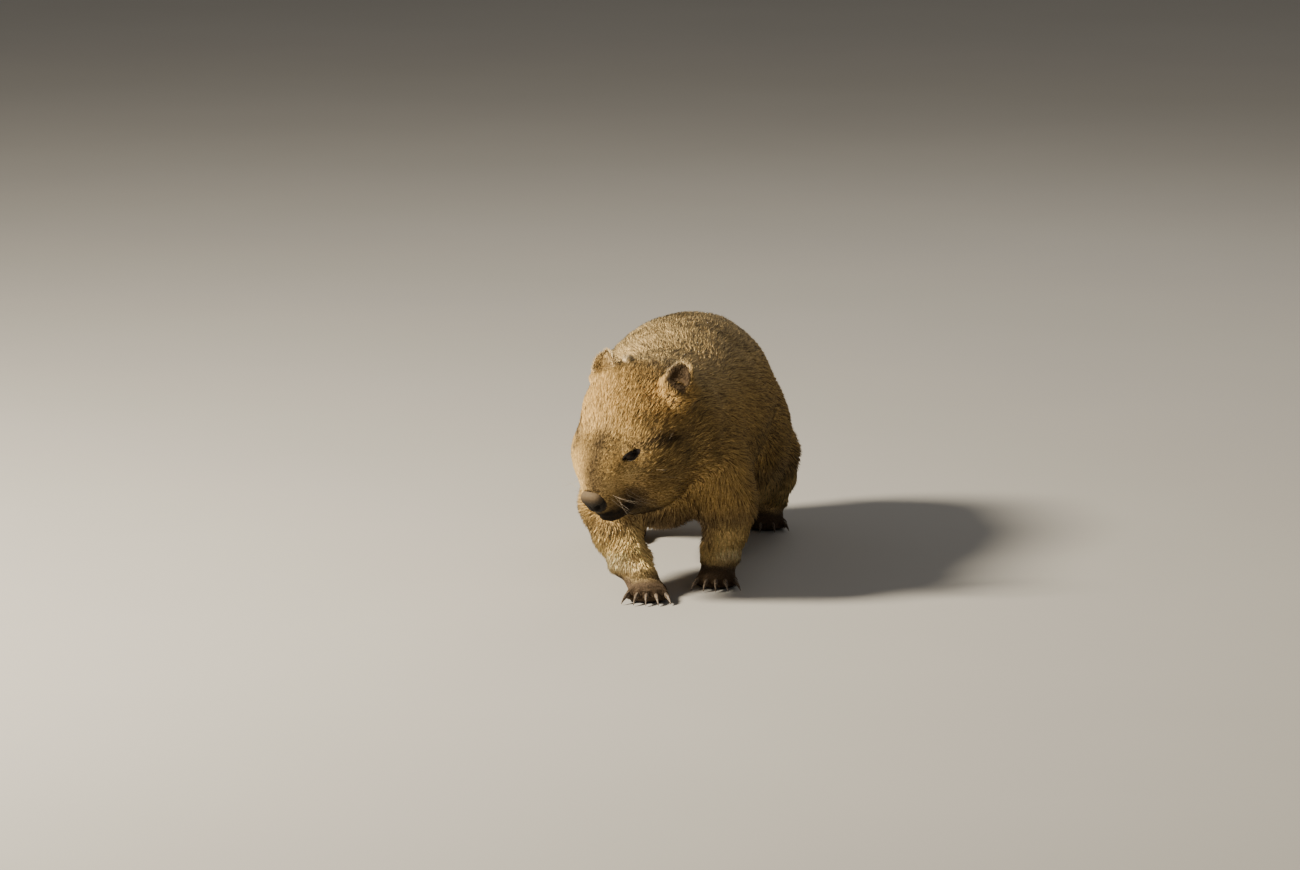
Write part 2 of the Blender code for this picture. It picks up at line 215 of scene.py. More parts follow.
def earCup(side):
    # outer arc and inner arc, each (w sin a, back - d (1 - cos a)), carried up the ear and narrowed
    # towards the tip by sqrt(1 - s^4.5)
    e = earShape
    rows, columns = 22, 25
    share = np.linspace(0, 1, rows)[:, None]
    angle = np.linspace(-e["sweep"], e["sweep"], columns)[None, :]
    taper = np.sqrt(np.clip(1 - share ** e["roundness"], 0.004, 1)) * (1 - e["narrowing"] * share)
    height = e["low"] + (e["high"] - e["low"]) * share + 0 * angle
    lean = e["lean"] * share ** 2
    arcs = []
    for inset in (0.0, e["wall"]):
        width = np.maximum(e["width"] * taper - inset, e["thinnest"][0])
        deep = np.maximum(e["cup"] * taper - inset * 0.6, e["thinnest"][1])
        x = width * np.sin(angle)
        y = e["back"] + lean - inset - deep * (1 - np.cos(angle))
        z = height - inset * 0.9 * share ** 6
        arcs.append(np.stack([x, y, z], -1))
    around = np.concatenate([arcs[0], arcs[1][:, ::-1]], axis=1)
    total = around.shape[1]
    j = np.arange(columns - 1)
    cap = np.stack([j, j + 1, total - 2 - j, total - 1 - j], -1)
    faces = halved(np.concatenate([gridFaces(rows, total), cap[:, ::-1], cap + (rows - 1) * total]))
    base, axes = earAxes(side)
    points = fromHead(around.reshape(-1, 3) @ axes.T + base)
    return points, faces if side < 0 else faces[:, ::-1]


# The skin: the solids' flesh swollen over its thin cuts, fused into one body and smoothed
skinShape = {
    "swell": 0.0006, "voxel": 0.0030, "smoothTimes": 26, "smoothAgain": 8, "smoothNormals": 6,
    "coatBody": 0.0064, "coatCrown": 0.0034, "coatFace": 0.0020, "coatMuzzle": 0.0012,
    "coatLeg": 0.0040, "coatFoot": 0.0016, "coatSole": 0.0006, "eyeReach": 0.020,
}
fleshNodes = ["trunk", "neck", "head", "tail"]
limbNodes = ("foreleg_", "forefoot_", "hindleg_", "hindfoot_")
fleshNodes += [limb + side for limb in limbNodes for side in ("left", "right")]


def swollenCopy(node):
    work = bmesh.new()
    work.from_mesh(nodes[node].data)
    bmesh.ops.remove_doubles(work, verts=work.verts, dist=0.00001)
    bmesh.ops.triangulate(work, faces=work.faces)
    bmesh.ops.recalc_face_normals(work, faces=work.faces)
    copy = bpy.data.meshes.new("copy")
    work.to_mesh(copy)
    work.free()
    points, faces = readMesh(copy)
    bpy.data.meshes.remove(copy)
    return points + vertexNormals(points, faces) * skinShape["swell"], faces


def fuse(bodies, size):  # one outer surface round all of them, as quads
    starts = np.cumsum([0] + [len(points) for points, faces in bodies])
    points = np.concatenate([points for points, faces in bodies])
    faces = np.concatenate([faces + start for (_, faces), start in zip(bodies, starts)])
    obj = makeObject("fuse", points, faces)
    remesh = obj.modifiers.new("remesh", "REMESH")
    remesh.mode = "VOXEL"
    remesh.voxel_size = size
    bpy.context.view_layer.update()
    fused = bpy.data.meshes.new_from_object(obj.evaluated_get(bpy.context.evaluated_depsgraph_get()))
    points, faces = readMesh(fused)
    bpy.data.meshes.remove(obj.data)
    bpy.data.meshes.remove(fused)
    return points, faces


def edgesOf(faces):
    pairs = np.concatenate([faces[:, [i, (i + 1) % faces.shape[1]]] for i in range(faces.shape[1])])
    return np.unique(np.sort(pairs, axis=1), axis=0)


def largestBody(points, faces):
    edges = edgesOf(faces)
    label = np.arange(len(points))
    while True:  # every vertex takes the lowest label among its neighbours, until none changes
        low = np.minimum(label[edges[:, 0]], label[edges[:, 1]])
        lower = label.copy()
        np.minimum.at(lower, edges[:, 0], low)
        np.minimum.at(lower, edges[:, 1], low)
        lower = lower[lower]
        if np.array_equal(lower, label):
            break
        label = lower
    best = np.bincount(label).argmax()
    keep = label == best
    renumber = np.cumsum(keep) - 1
    return points[keep], renumber[faces[keep[faces[:, 0]]]]


def evened(points, edges, times, weight):  # each vertex moves towards the middle of its neighbours
    count = np.bincount(edges.ravel(), minlength=len(points))
    for _ in range(times):
        total = np.stack([
            np.bincount(edges[:, 0], points[edges[:, 1], axis], len(points))
            + np.bincount(edges[:, 1], points[edges[:, 0], axis], len(points)) for axis in range(3)
        ], axis=1)
        points = points + (total / count[:, None] - points) * weight[:, None]
    return points


def vertexNormals(points, faces):  # the mean of the faces round each vertex, by their size
    corners = points[faces]
    if faces.shape[1] == 4:
        cross = np.cross(corners[:, 2] - corners[:, 0], corners[:, 3] - corners[:, 1])
    else:
        cross = np.cross(corners[:, 1] - corners[:, 0], corners[:, 2] - corners[:, 0])
    total = np.zeros_like(points)
    for axis in range(3):
        for corner in range(faces.shape[1]):
            total[:, axis] += np.bincount(faces[:, corner], cross[:, axis], len(points))
    return unit(total)


# Feet: middle, turn in degrees, half width and half length, and for each toe where its claw is rooted
footShape = {
    "fore_right": (-0.0142, -0.2562, 3, 0.026, 0.032), "fore_left": (0.0598, -0.1632, 4, 0.026, 0.032),
    "hind_right": (-0.0802, 0.1238, -6, 0.026, 0.040), "hind_left": (0.0858, 0.2198, 8, 0.026, 0.040),
}
# Claws: number, length and root radius on each foot, height of the tips and of the roots, and their spread
clawShape = {
    "fore": (5, 0.0240, 0.0037), "hind": (4, 0.0190, 0.0032), "rest": 0.0015, "rootHeight": 0.010,
    "rise": 0.0015, "spread": 24.0, "rootSide": 0.80, "rootFront": (0.80, 0.22),
    "start": -0.25, "flatness": 0.74, "lag": 0.06, "thinning": 0.88, "thinningPower": 1.7,
}


def toePlaces():  # root, forward direction, length and radius of every claw
    rows = []
    for foot, (x, y, turned, halfWidth, halfLength) in footShape.items():
        number, length, radius = clawShape[foot[:4]]
        across = np.linspace(-1, 1, number)
        angle = np.radians(turned)
        ahead, bow = clawShape["rootFront"]
        rootX = across * halfWidth * clawShape["rootSide"]
        rootY = -halfLength * (ahead - bow * across ** 2)
        way = angle + across * math.radians(clawShape["spread"])
        rows.append(np.stack([
            x + rootX * math.cos(angle) - rootY * math.sin(angle),
            y + rootX * math.sin(angle) + rootY * math.cos(angle),
            np.full(number, clawShape["rootHeight"]),
            np.sin(way), -np.cos(way), 0 * across,
            np.full(number, length), np.full(number, radius),
        ], axis=1))
    return np.concatenate(rows)


toes = toePlaces()


def toDistance(points, starts, ends):  # from each point to the nearest of some straight pieces
    best = np.full(len(points), 1.0)
    for start, end in zip(starts, ends):
        along = end - start
        share = np.clip((points - start) @ along / along.dot(along), 0, 1)
        best = np.minimum(best, np.linalg.norm(points - start - share[:, None] * along, axis=1))
    return best


# Where each part of the body is, as shares from 0 to 1. Each soft edge starts and ends at these places
softEdges = {
    "headBack": (0.085, 0.135), "headUnder": (-0.120, -0.092),
    "muzzle": (0.030, 0.062), "face": (0.050, 0.110),
    "earRoot": (0.002, 0.009), "earAcross": (0.024, 0.028), "earThrough": (0.016, 0.020),
    "cupFront": (0.05, 0.45), "cupAcross": (0.0125, 0.0165),
    "legTop": (0.060, 0.105), "crotch": (0.048, 0.062), "crotchAcross": (0.030, 0.050),
    "bellyAlong": (0.040, 0.060), "bellyUnder": (0.040, 0.050), "belly": (0.085, 0.12),
    "ankle": (0.020, 0.044), "sole": (0.002, 0.006), "back": (0.20, 0.27),
}
bodyLines = {"foreEnd": -0.05, "foreMiddle": 0.015, "foreSplit": 0.021, "noseFront": (0, -0.050, -0.034)}


def soft(name, values):
    return ramp(*softEdges[name], values)


def regions(points, normals=None):
    head = toHead(points)
    r = {"head": head, "side": np.abs(head[:, 0])}
    r["headness"] = (1 - soft("headBack", head[:, 1])) * soft("headUnder", head[:, 2])
    ears = [toEar(head, side) for side in (1, -1)]
    near = [soft("earRoot", ear[:, 2]) * (1 - soft("earAcross", np.abs(ear[:, 0])))
            * (1 - soft("earThrough", np.abs(ear[:, 1]))) for ear in ears]
    onLeft = near[0] > near[1]
    r["ear"] = np.maximum(near[0], near[1])
    r["earLocal"] = np.where(onLeft[:, None], ears[0], ears[1])
    r["earSide"] = np.where(onLeft, 1, -1)
    r["earInside"] = 0 * r["ear"]
    if normals is not None:
        fronts = [-(normals @ headAxes @ earAxes(side)[1])[:, 1] for side in (1, -1)]
        inCup = soft("cupFront", np.where(onLeft, fronts[0], fronts[1]))
        r["earInside"] = r["ear"] * inCup * (1 - soft("cupAcross", np.abs(r["earLocal"][:, 0])))
    high = points[:, 2]
    fore = points[:, 1] < bodyLines["foreEnd"]
    between = np.abs(points[:, 0] - np.where(fore, bodyLines["foreMiddle"], 0.0))
    crotch = soft("crotch", high) * (1 - soft("crotchAcross", between))
    middle = (1 - soft("bellyAlong", np.abs(points[:, 1]))) * soft("bellyUnder", high)
    r["leg"] = (1 - soft("legTop", high)) * (1 - r["headness"]) * (1 - crotch) * (1 - middle)
    r["foot"] = (1 - soft("ankle", high)) * (1 - r["headness"])
    r["sole"] = 1 - soft("sole", high)
    r["back"] = soft("back", high) * (1 - r["headness"])
    r["belly"] = (1 - soft("belly", high)) * (1 - r["leg"]) * (1 - r["headness"])
    r["mirrored"] = np.stack([r["side"], head[:, 1], head[:, 2]], axis=1)
    r["toNose"] = np.linalg.norm(head - np.array(bodyLines["noseFront"]), axis=1)
    r["toEye"] = np.linalg.norm(r["mirrored"] - np.array(headPose["eye"]), axis=1)
    r["muzzle"] = (1 - soft("muzzle", r["toNose"])) * r["headness"]
    r["face"] = (1 - soft("face", r["toNose"])) * r["headness"]
    return r


def coatDepth(points):  # how deep the skin lies under the tips of the coat
    r = regions(points)
    nearEye = bell(r["toEye"], 0, skinShape["eyeReach"]) * r["headness"]
    depth = layered(skinShape, "coatBody", [
        ("coatCrown", r["headness"]), ("coatFace", r["face"]), ("coatMuzzle", r["muzzle"]),
        ("coatMuzzle", nearEye), ("coatLeg", r["leg"]), ("coatFoot", r["foot"]), ("coatSole", r["sole"])])
    return depth * (1 - r["ear"])


# The nose pad: its middle and half sizes, the nostrils and its colours, with painted light on the top and
# painted shade under it and in the nostrils
noseShape = {
    "middle": (0.0, -0.0465, -0.0325), "half": (0.0165, 0.0100, 0.0155), "nostril": (0.0085, -0.0030),
    "nostrilSize": (0.0046, 0.0030), "nostrilDepth": 0.0062, "cleftDepth": 0.0020, "cleftHalf": 0.0012,
    "slant": 0.5, "slit": (0.0050, 0.0040), "slitSize": (0.0040, 0.0012), "slitDepth": 0.0022,
    "roundness": 2.5, "grainHeight": 0.00022, "grain": 0.0012, "behind": 0.008,
    "top": (0.115, 0.082, 0.047), "side": (0.013, 0.010, 0.008), "deep": (0.007, 0.005, 0.004),
}
# Folds of the face, pressed into the skin: how deep, how wide
faceFolds = {
    "mouth": [(0.000, -0.0520, -0.0570), (0.010, -0.0490, -0.0590), (0.019, -0.0390, -0.0610),
              (0.024, -0.0240, -0.0610)],
    "mouthDepth": 0.0022, "mouthWidth": 0.0024,
    "cleft": [(0.0, -0.0580, -0.0440), (0.0, -0.0520, -0.0570)],
    "brow": ((0.040, 0.004, 0.0160), (0.020, 0.022, 0.0100)), "browLift": 0.0014,
    "lip": (0.0055, 0.003), "lipLift": 0.0012, "toeLift": 0.0024, "toe": 0.0052, "toeLength": 0.014,
}
# Eyes: balls set deep, each behind an almond opening between two lids
eyeShape = {
    "radius": 0.0090, "across": 60.0, "tall": 22.0, "gaze": (0.76, -0.56, 0.32), "lid": 0.0010,
    "outer": (0.0165, 0.0140), "almond": (0.0130, 0.0056), "almondPower": 1.5, "sunk": 0.0045,
    "bed": 0.0016, "bedReach": 0.0215, "behind": -0.030, "blend": 0.0013,
}
eyeBeds = {}


def alongLine(points, corners):  # distance to the nearest of a chain of straight pieces
    corners = np.array(corners)
    return toDistance(points, corners[:-1], corners[1:])


def eyeFrame(side):  # columns: along the slit, up, and out along the gaze
    gaze = unit(np.array(eyeShape["gaze"]) * np.array([side, 1, 1]))
    up = unit(np.array([0, 0, 1.0]) - gaze * gaze[2])
    return np.stack([np.cross(up, gaze), up, gaze], axis=1)


def toEyeball(points, side):
    centre = np.array(headPose["eye"]) * np.array([side, 1, 1])
    return (toHead(points) - centre) @ eyeFrame(side)


def fromEyeball(local, side):
    centre = np.array(headPose["eye"]) * np.array([side, 1, 1])
    return fromHead(centre + local @ eyeFrame(side).T)


def bedHeight(u, v, side):  # the mean height of the face's own points, each weighted by exp(-(d / bed)^2)
    bed = eyeBeds[side]
    places = np.stack([u.ravel(), v.ravel()], axis=1)
    apart = ((places[:, None] - bed[None, :, :2]) ** 2).sum(axis=2)
    weight = np.exp(-apart / eyeShape["bed"] ** 2) + 1e-9
    return ((weight * bed[:, 2]).sum(axis=1) / weight.sum(axis=1)).reshape(np.shape(u))


def lidHeight(u, v, side):
    # the higher of the lid over the ball and the face round it, blended: b log(e^(dome / b) + e^(face / b))
    over, blend = eyeShape["radius"] + eyeShape["lid"], eyeShape["blend"]
    off, edge = np.hypot(u, v), 0.95 * over
    dome = np.sqrt(over ** 2 - np.minimum(off, edge) ** 2) - 3.04 * np.maximum(off - edge, 0)
    return blend * np.log(np.exp(dome / blend) + np.exp(bedHeight(u, v, side) / blend))


def almond(u, v):  # 1 on the edge of the bare, dark skin round the slit, more outside it
    halfU, halfV = eyeShape["almond"]
    power = eyeShape["almondPower"]
    return ((np.abs(u) / halfU) ** power + (np.abs(v) / halfV) ** power) ** (1 / power)


def bedEyes(points):  # keep the lie of the face round each eye, then sink the skin under the lids
    e = eyeShape
    for side in (1, -1):
        local = toEyeball(points, side)
        inFront = local[:, 2] > e["behind"]
        eyeBeds[side] = local[(np.hypot(local[:, 0], local[:, 1]) < e["bedReach"]) & inFront].copy()
        within = np.hypot(local[:, 0] / e["outer"][0], local[:, 1] / e["outer"][1])
        near = (within < 1) & inFront
        lid = lidHeight(local[near, 0], local[near, 1], side)
        sunk = np.minimum(local[near, 2], lid - e["sunk"] * (1 - ramp(0.55, 0.84, within[near])))
        local[near, 2] = mix(sunk, local[near, 2], ramp(0.84, 1.0, within[near]))
        points[near] = fromEyeball(local[near], side)
    return points


def foldFace(points, normals):  # a groove at the mouth, and lips, brow and knuckles that swell like exp(-d^2)
    f = faceFolds
    r = regions(points)
    m = r["mirrored"]
    groove = np.minimum(alongLine(m, f["mouth"]), alongLine(m, f["cleft"]))
    move = -f["mouthDepth"] * bell(groove, 0, f["mouthWidth"])
    move += f["lipLift"] * bell(groove, *f["lip"]) * (1 - ramp(0.05, 0.06, r["toNose"]))
    move += f["browLift"] * spot(m, *f["brow"])
    knuckles = toDistance(points, toes[:, :3] - f["toeLength"] * toes[:, 3:6], toes[:, :3])
    swell = f["toeLift"] * (bell(knuckles, 0, f["toe"]) - 0.25) * ramp(0.003, 0.009, points[:, 2])
    toesNear = (1 - ramp(0.010, 0.016, knuckles)) * (1 - r["headness"])
    return points + normals * (move * r["headness"] + swell * toesNear)[:, None]


def refined(points, faces, chosen):  # edges with both ends chosen are cut in two, and the rest follows
    obj = makeObject("refined", points, faces)
    ends = np.empty(len(obj.data.edges) * 2, np.int32)
    obj.data.edges.foreach_get("vertices", ends)
    picked = chosen[ends.reshape(-1, 2)].all(axis=1)
    work = bmesh.new()
    work.from_mesh(obj.data)
    work.edges.ensure_lookup_table()
    edges = [work.edges[index] for index in np.flatnonzero(picked)]
    bmesh.ops.subdivide_edges(work, edges=edges, cuts=1, use_grid_fill=True, smooth=0.6)
    bmesh.ops.triangulate(work, faces=work.faces)
    work.to_mesh(obj.data)
    work.free()
    points, faces = readMesh(obj.data)
    bpy.data.meshes.remove(obj.data)
    return points, faces


def needsDetail(points):  # the face and the toes
    r = regions(points)
    toKnuckles = toDistance(points, toes[:, :3] - 0.01 * toes[:, 3:6], toes[:, :3])
    return ((r["toNose"] < 0.083) & (r["headness"] > 0.5)) | (toKnuckles < 0.013)


def toPad(head):  # 1 on the ball that bounds the nose pad, less inside it
    return np.linalg.norm((head - np.array(noseShape["middle"])) / np.array(noseShape["half"]), axis=1)


def hollowNose(points):  # draw the skin back from the nostrils behind the nose pad
    within = 1 - ramp(0.62, 0.92, toPad(toHead(points)))
    return points + (noseShape["behind"] * within)[:, None] * headAxes[:, 1]


def makeSkin():
    bodies = [swollenCopy(node) for node in fleshNodes + ["nose"]]
    bodies += [swollenCopy("eye_left"), swollenCopy("eye_right"), earCup(1), earCup(-1)]
    points, faces = largestBody(*fuse(bodies, skinShape["voxel"]))
    edges = edgesOf(faces)
    still = regions(points)
    weight = 0.5 * (1 - 0.9 * still["ear"]) * (1 - 0.7 * still["foot"])
    points = evened(points, edges, skinShape["smoothTimes"], weight)
    calm = evened(vertexNormals(points, faces), edges, skinShape["smoothNormals"], np.full(len(points), 0.5))
    points = points - unit(calm) * coatDepth(points)[:, None]
    points = evened(points, edges, skinShape["smoothAgain"], weight)
    points[:, 2] = np.maximum(points[:, 2], skinShape["coatSole"])
    points, faces = refined(points, faces, needsDetail(points))
    points = foldFace(points, vertexNormals(points, faces))
    points = hollowNose(points)
    points[:, 2] = np.maximum(points[:, 2], skinShape["coatSole"])
    return bedEyes(points), faces


skinPoints, skinFaces = makeSkin()
skinNormals = vertexNormals(skinPoints, skinFaces)
print("skin:", len(skinFaces), "triangles")


# Nose pad: a swollen bean with a cleft below and two nostrils that open out to the sides
def nostrils(x, z):
    # 1 in the hole and less round it: a slanting oval, and a slit that runs outward from it
    n = noseShape
    dx, dz = np.abs(x) - n["nostril"][0], z - n["nostril"][1]
    level, tilt = math.cos(n["slant"]), math.sin(n["slant"])
    along, over = dx * level + dz * tilt, dz * level - dx * tilt
    hole = np.exp(-((along / n["nostrilSize"][0]) ** 2 + (over / n["nostrilSize"][1]) ** 2) ** 1.5)
    slitAlong, slitOver = (dx - n["slit"][0]) / n["slitSize"][0], (dz - n["slit"][1]) / n["slitSize"][1]
    return hole, np.exp(-slitAlong ** 2 - slitOver ** 2)


def makeNose():
    # a ball drawn out to |x|^p + |y|^p + |z|^p = 1 with p = 2.5, scaled, then pressed in from the front
    n = noseShape
    rows, columns, power = 90, 120, n["roundness"]
    polar = np.linspace(0.003, math.pi - 0.003, rows)[:, None]
    around = np.linspace(0, 2 * math.pi, columns, endpoint=False)[None, :]
    ball = np.stack([np.sin(polar) * np.cos(around), -np.cos(polar) + 0 * around,
                     np.sin(polar) * np.sin(around)], -1).reshape(-1, 3)
    points = ball * ((np.abs(ball) ** power).sum(axis=1) ** (-1 / power))[:, None] * np.array(n["half"])
    points[:, 0] *= 1 + 0.06 * ramp(0.0, 0.010, points[:, 2]) - 0.26 * ramp(0.0, 0.015, -points[:, 2])
    front = ramp(0.0, 0.5, -ball[:, 1])
    hole, slit = nostrils(points[:, 0], points[:, 2])
    cleft = bell(points[:, 0], 0, n["cleftHalf"]) * (1 - ramp(-0.004, 0.003, points[:, 2]))
    points[:, 1] += front * (n["nostrilDepth"] * hole + n["slitDepth"] * slit + n["cleftDepth"] * cleft)
    points += unit(ball) * (n["grainHeight"] * noise(points, n["grain"]) * (1 - hole))[:, None]
    faces = np.concatenate([gridFaces(rows, columns), capFaces(rows, columns)])
    pad = facesOutward(makeObject("nosePad", fromHead(points + np.array(n["middle"])), faces))
    places = np.empty(len(pad.data.vertices) * 3, np.float32)
    pad.data.vertices.foreach_get("co", places)
    local = toHead(places.reshape(-1, 3).astype(float)) - np.array(n["middle"])
    hole, slit = nostrils(local[:, 0], local[:, 2])
    upward = unit(local / np.array(n["half"]) ** 2)[:, 2]
    # near black at the sides, lighter on top (partly the fur that reaches onto it, partly painted light);
    # painted shade darkens the nostrils, the slits and the underside
    colour = mixColour(n["side"], n["top"], ramp(0.05, 0.75, upward))
    shadeBelow = 1 - ramp(-0.35, 0.05, upward)
    dark = np.maximum(np.maximum(hole, 0.8 * slit) * (local[:, 1] < 0.002), 0.85 * shadeBelow)
    addColours(pad, "furColour", mixColour(colour, n["deep"], dark.clip(0, 1)))
    return pad


nosePad = makeNose()


# The eyeballs and the lids in front of them
def makeEye(side, name):
    # a ball whose front swells a little: radius (1 + 0.05 exp(-(a / 0.55)^2)), a from the gaze
    rows, columns = 28, 40
    polar = np.linspace(0.004, math.pi - 0.004, rows)[:, None]
    around = np.linspace(0, 2 * math.pi, columns, endpoint=False)[None, :]
    radius = eyeShape["radius"] * (1 + 0.05 * np.exp(-(polar / 0.55) ** 2))
    local = np.stack([radius * np.sin(polar) * np.cos(around), radius * np.sin(polar) * np.sin(around),
                      radius * np.cos(polar) + 0 * around], -1).reshape(-1, 3)
    faces = np.concatenate([gridFaces(rows, columns), capFaces(rows, columns)])
    return facesOutward(makeObject(name, fromEyeball(local, side), faces))


def makeLids(side, name):
    # rows run from the slit's edge outward over the lid to the face, and back under it. The edge stands
    # at the angle whose inverse is ((|cos t| / across)^p + (|sin t| / tall)^p)^(1/p)
    columns, rows, power = 96, 26, 1.6
    t = np.linspace(0, 2 * math.pi, columns, endpoint=False)[None, :]
    across, tall = math.radians(eyeShape["across"]), math.radians(eyeShape["tall"])
    angle = ((np.abs(np.cos(t)) / across) ** power + (np.abs(np.sin(t)) / tall) ** power) ** (-1 / power)
    outU, outV = eyeShape["outer"]
    outside = 1 / np.hypot(np.cos(t) / outU, np.sin(t) / outV)
    inside = eyeShape["radius"] * np.sin(angle)
    share = np.linspace(0, 1, rows)[:, None]
    off = inside + (outside - inside) * share ** 1.35
    u, v = off * np.cos(t), off * np.sin(t)
    ball = np.sqrt(np.maximum(eyeShape["radius"] ** 2 - off ** 2, 0))
    wall = ramp(0.0, 0.0016, off - inside)
    top = mix(ball + 0.0002, lidHeight(u, v, side), wall) - 0.0010 * ramp(0.86, 1.0, share)
    bottom = np.minimum(top - 0.0012, mix(ball - 0.0006, top - 0.003, wall))
    local = np.concatenate([np.stack([u, v, top], -1), np.stack([u, v, bottom], -1)[::-1]]).reshape(-1, 3)
    faces = halved(gridFaces(2 * rows, columns, wrapRows=True))
    return facesOutward(makeObject(name, fromEyeball(local, side), faces))


eyes = [makeEye(1, "eyeballLeft"), makeEye(-1, "eyeballRight")]
lids = [makeLids(1, "lidsLeft"), makeLids(-1, "lidsRight")]
print("nose, eyes and lids done")


# Unwrap: each part of the body is rolled off round its own line, into its own place on the map.
# across = angle round the line, along = distance down the line, carried on over a closed end
unwrapParts = {
    "trunk": {"from": (-0.004, -0.20, 0.160), "to": (-0.004, 0.30, 0.160), "reach": (-0.20, 0.62),
              "radius": 0.115, "place": (0.005, 0.005, 0.990, 0.520), "ends": (0.00, 0.42)},
    "head": {"from": (0, -0.045, -0.026), "to": (0, 0.10, -0.020), "reach": (-0.070, 0.170),
             "radius": 0.066, "place": (0.005, 0.535, 0.560, 0.460), "ends": (0.035, 1.0)},
    "earLeft": {"reach": (-0.004, 0.056), "place": (0.575, 0.535, 0.205, 0.200)},
    "earRight": {"reach": (-0.004, 0.056), "place": (0.790, 0.535, 0.205, 0.200)},
    "foreLeft": {"from": (0.075, -0.153, 0.10), "to": (0.060, -0.158, 0.0), "reach": (-0.02, 0.140),
                 "radius": 0.034, "place": (0.575, 0.745, 0.100, 0.250), "ends": (-1, 0.096)},
    "foreRight": {"from": (-0.070, -0.176, 0.10), "to": (-0.014, -0.250, 0.0), "reach": (-0.02, 0.160),
                  "radius": 0.034, "place": (0.685, 0.745, 0.100, 0.250), "ends": (-1, 0.130)},
    "hindLeft": {"from": (0.088, 0.197, 0.10), "to": (0.086, 0.222, 0.0), "reach": (-0.02, 0.145),
                 "radius": 0.036, "place": (0.795, 0.745, 0.095, 0.250), "ends": (-1, 0.098)},
    "hindRight": {"from": (-0.088, 0.150, 0.10), "to": (-0.080, 0.130, 0.0), "reach": (-0.02, 0.145),
                  "radius": 0.036, "place": (0.900, 0.745, 0.095, 0.250), "ends": (-1, 0.098)},
}
unwrapNames = list(unwrapParts)


def partOf(points):
    r = regions(points)
    part = np.where(r["headness"] > 0.5, 1, 0)
    fore = points[:, 1] < bodyLines["foreEnd"]
    left = points[:, 0] > np.where(fore, bodyLines["foreSplit"], 0.0)
    legs = np.where(fore, np.where(left, 4, 5), np.where(left, 6, 7))
    part = np.where(r["leg"] > 0.5, legs, part)
    return np.where(r["ear"] > 0.5, np.where(r["earSide"] > 0, 2, 3), part)


def rollOff(points, part):  # the angle, from -pi to pi, and the place along, of points of one part
    shape = unwrapParts[unwrapNames[part]]
    if part in (2, 3):
        local = toEar(toHead(points), 1 if part == 2 else -1)
        return np.arctan2(local[:, 0], local[:, 1] - 0.002), local[:, 2]
    places = toHead(points) if part == 1 else points
    start, end = np.array(shape["from"]), np.array(shape["to"])
    line = unit(end - start)
    along = (places - start) @ line
    off = places - start - along[:, None] * line
    reference = np.array([0, 0, 1.0]) if part < 2 else np.array([0, 1.0, 0])
    second = unit(reference - line * reference.dot(line))
    sideways, depth = off @ np.cross(line, second), -(off @ second)
    radius = np.hypot(sideways, depth)
    low, high = shape["ends"]
    shrink = np.maximum(shape["radius"] - radius, 0)
    along = along - shrink * (1 - ramp(low - 0.03, low, along)) + shrink * ramp(high, high + 0.012, along)
    return np.arctan2(sideways, depth), along


def mapPlace(angle, along, part):
    shape = unwrapParts[unwrapNames[part]]
    left, low, width, height = shape["place"]
    across = np.clip((angle + math.pi) / (2 * math.pi + 0.12), 0, 1)
    up = np.clip((along - shape["reach"][0]) / (shape["reach"][1] - shape["reach"][0]), 0, 1)
    return np.stack([left + across * width, low + up * height], axis=1)


def mapPoints(points):
    part = partOf(points)
    places = np.zeros((len(points), 2))
    for index in range(len(unwrapNames)):
        own = part == index
        places[own] = mapPlace(*rollOff(points[own], index), index)
    return places


def mapFaces(points, faces):  # one place for each corner of each face
    part = partOf(points[faces].mean(axis=1))
    places = np.zeros((len(faces), 3, 2))
    for index in range(len(unwrapNames)):
        own = part == index
        corners = points[faces[own]].reshape(-1, 3)
        angle, along = rollOff(corners, index)
        angle = angle.reshape(-1, 3)
        wraps = np.ptp(angle, axis=1) > math.pi
        angle[wraps] = np.where(angle[wraps] < 0, angle[wraps] + 2 * math.pi, angle[wraps])
        places[own] = mapPlace(angle.ravel(), along, index).reshape(-1, 3, 2)
    return places.reshape(-1, 2)


def addMap(obj, places):
    layer = obj.data.uv_layers.new(name="OFBake")
    layer.data.foreach_set("uv", places.astype(np.float32).ravel())


# Colours of the coat: pale and dark hair and the underfur, by place on the body
coatColours = {
    "pale": (0.540, 0.368, 0.138), "dark": (0.058, 0.037, 0.019), "under": (0.150, 0.098, 0.048),
    "crownPale": (0.660, 0.430, 0.150), "backPale": (0.640, 0.475, 0.225), "legPale": (0.880, 0.655, 0.295),
    "wristPale": (0.880, 0.730, 0.450), "footPale": (0.130, 0.088, 0.054), "footDark": (0.032, 0.022, 0.015),
    "earPale": (0.780, 0.640, 0.420), "earCupBrownAndShade": (0.070, 0.045, 0.027), "cheekPale": (0.680, 0.500, 0.235),
    # the lip colour is also laid as painted shade over the chin and under the nose, and the smudge colour as
    # painted shade behind and under the eyes and on the sides of the muzzle
    "smudge": (0.130, 0.088, 0.050), "lip": (0.012, 0.009, 0.007), "bellyPale": (0.380, 0.275, 0.145),
    "darkShare": 0.33, "sole": (0.050, 0.036, 0.029), "padEdge": (0.034, 0.025, 0.019),
    "eyeEdge": (0.012, 0.008, 0.007),
}
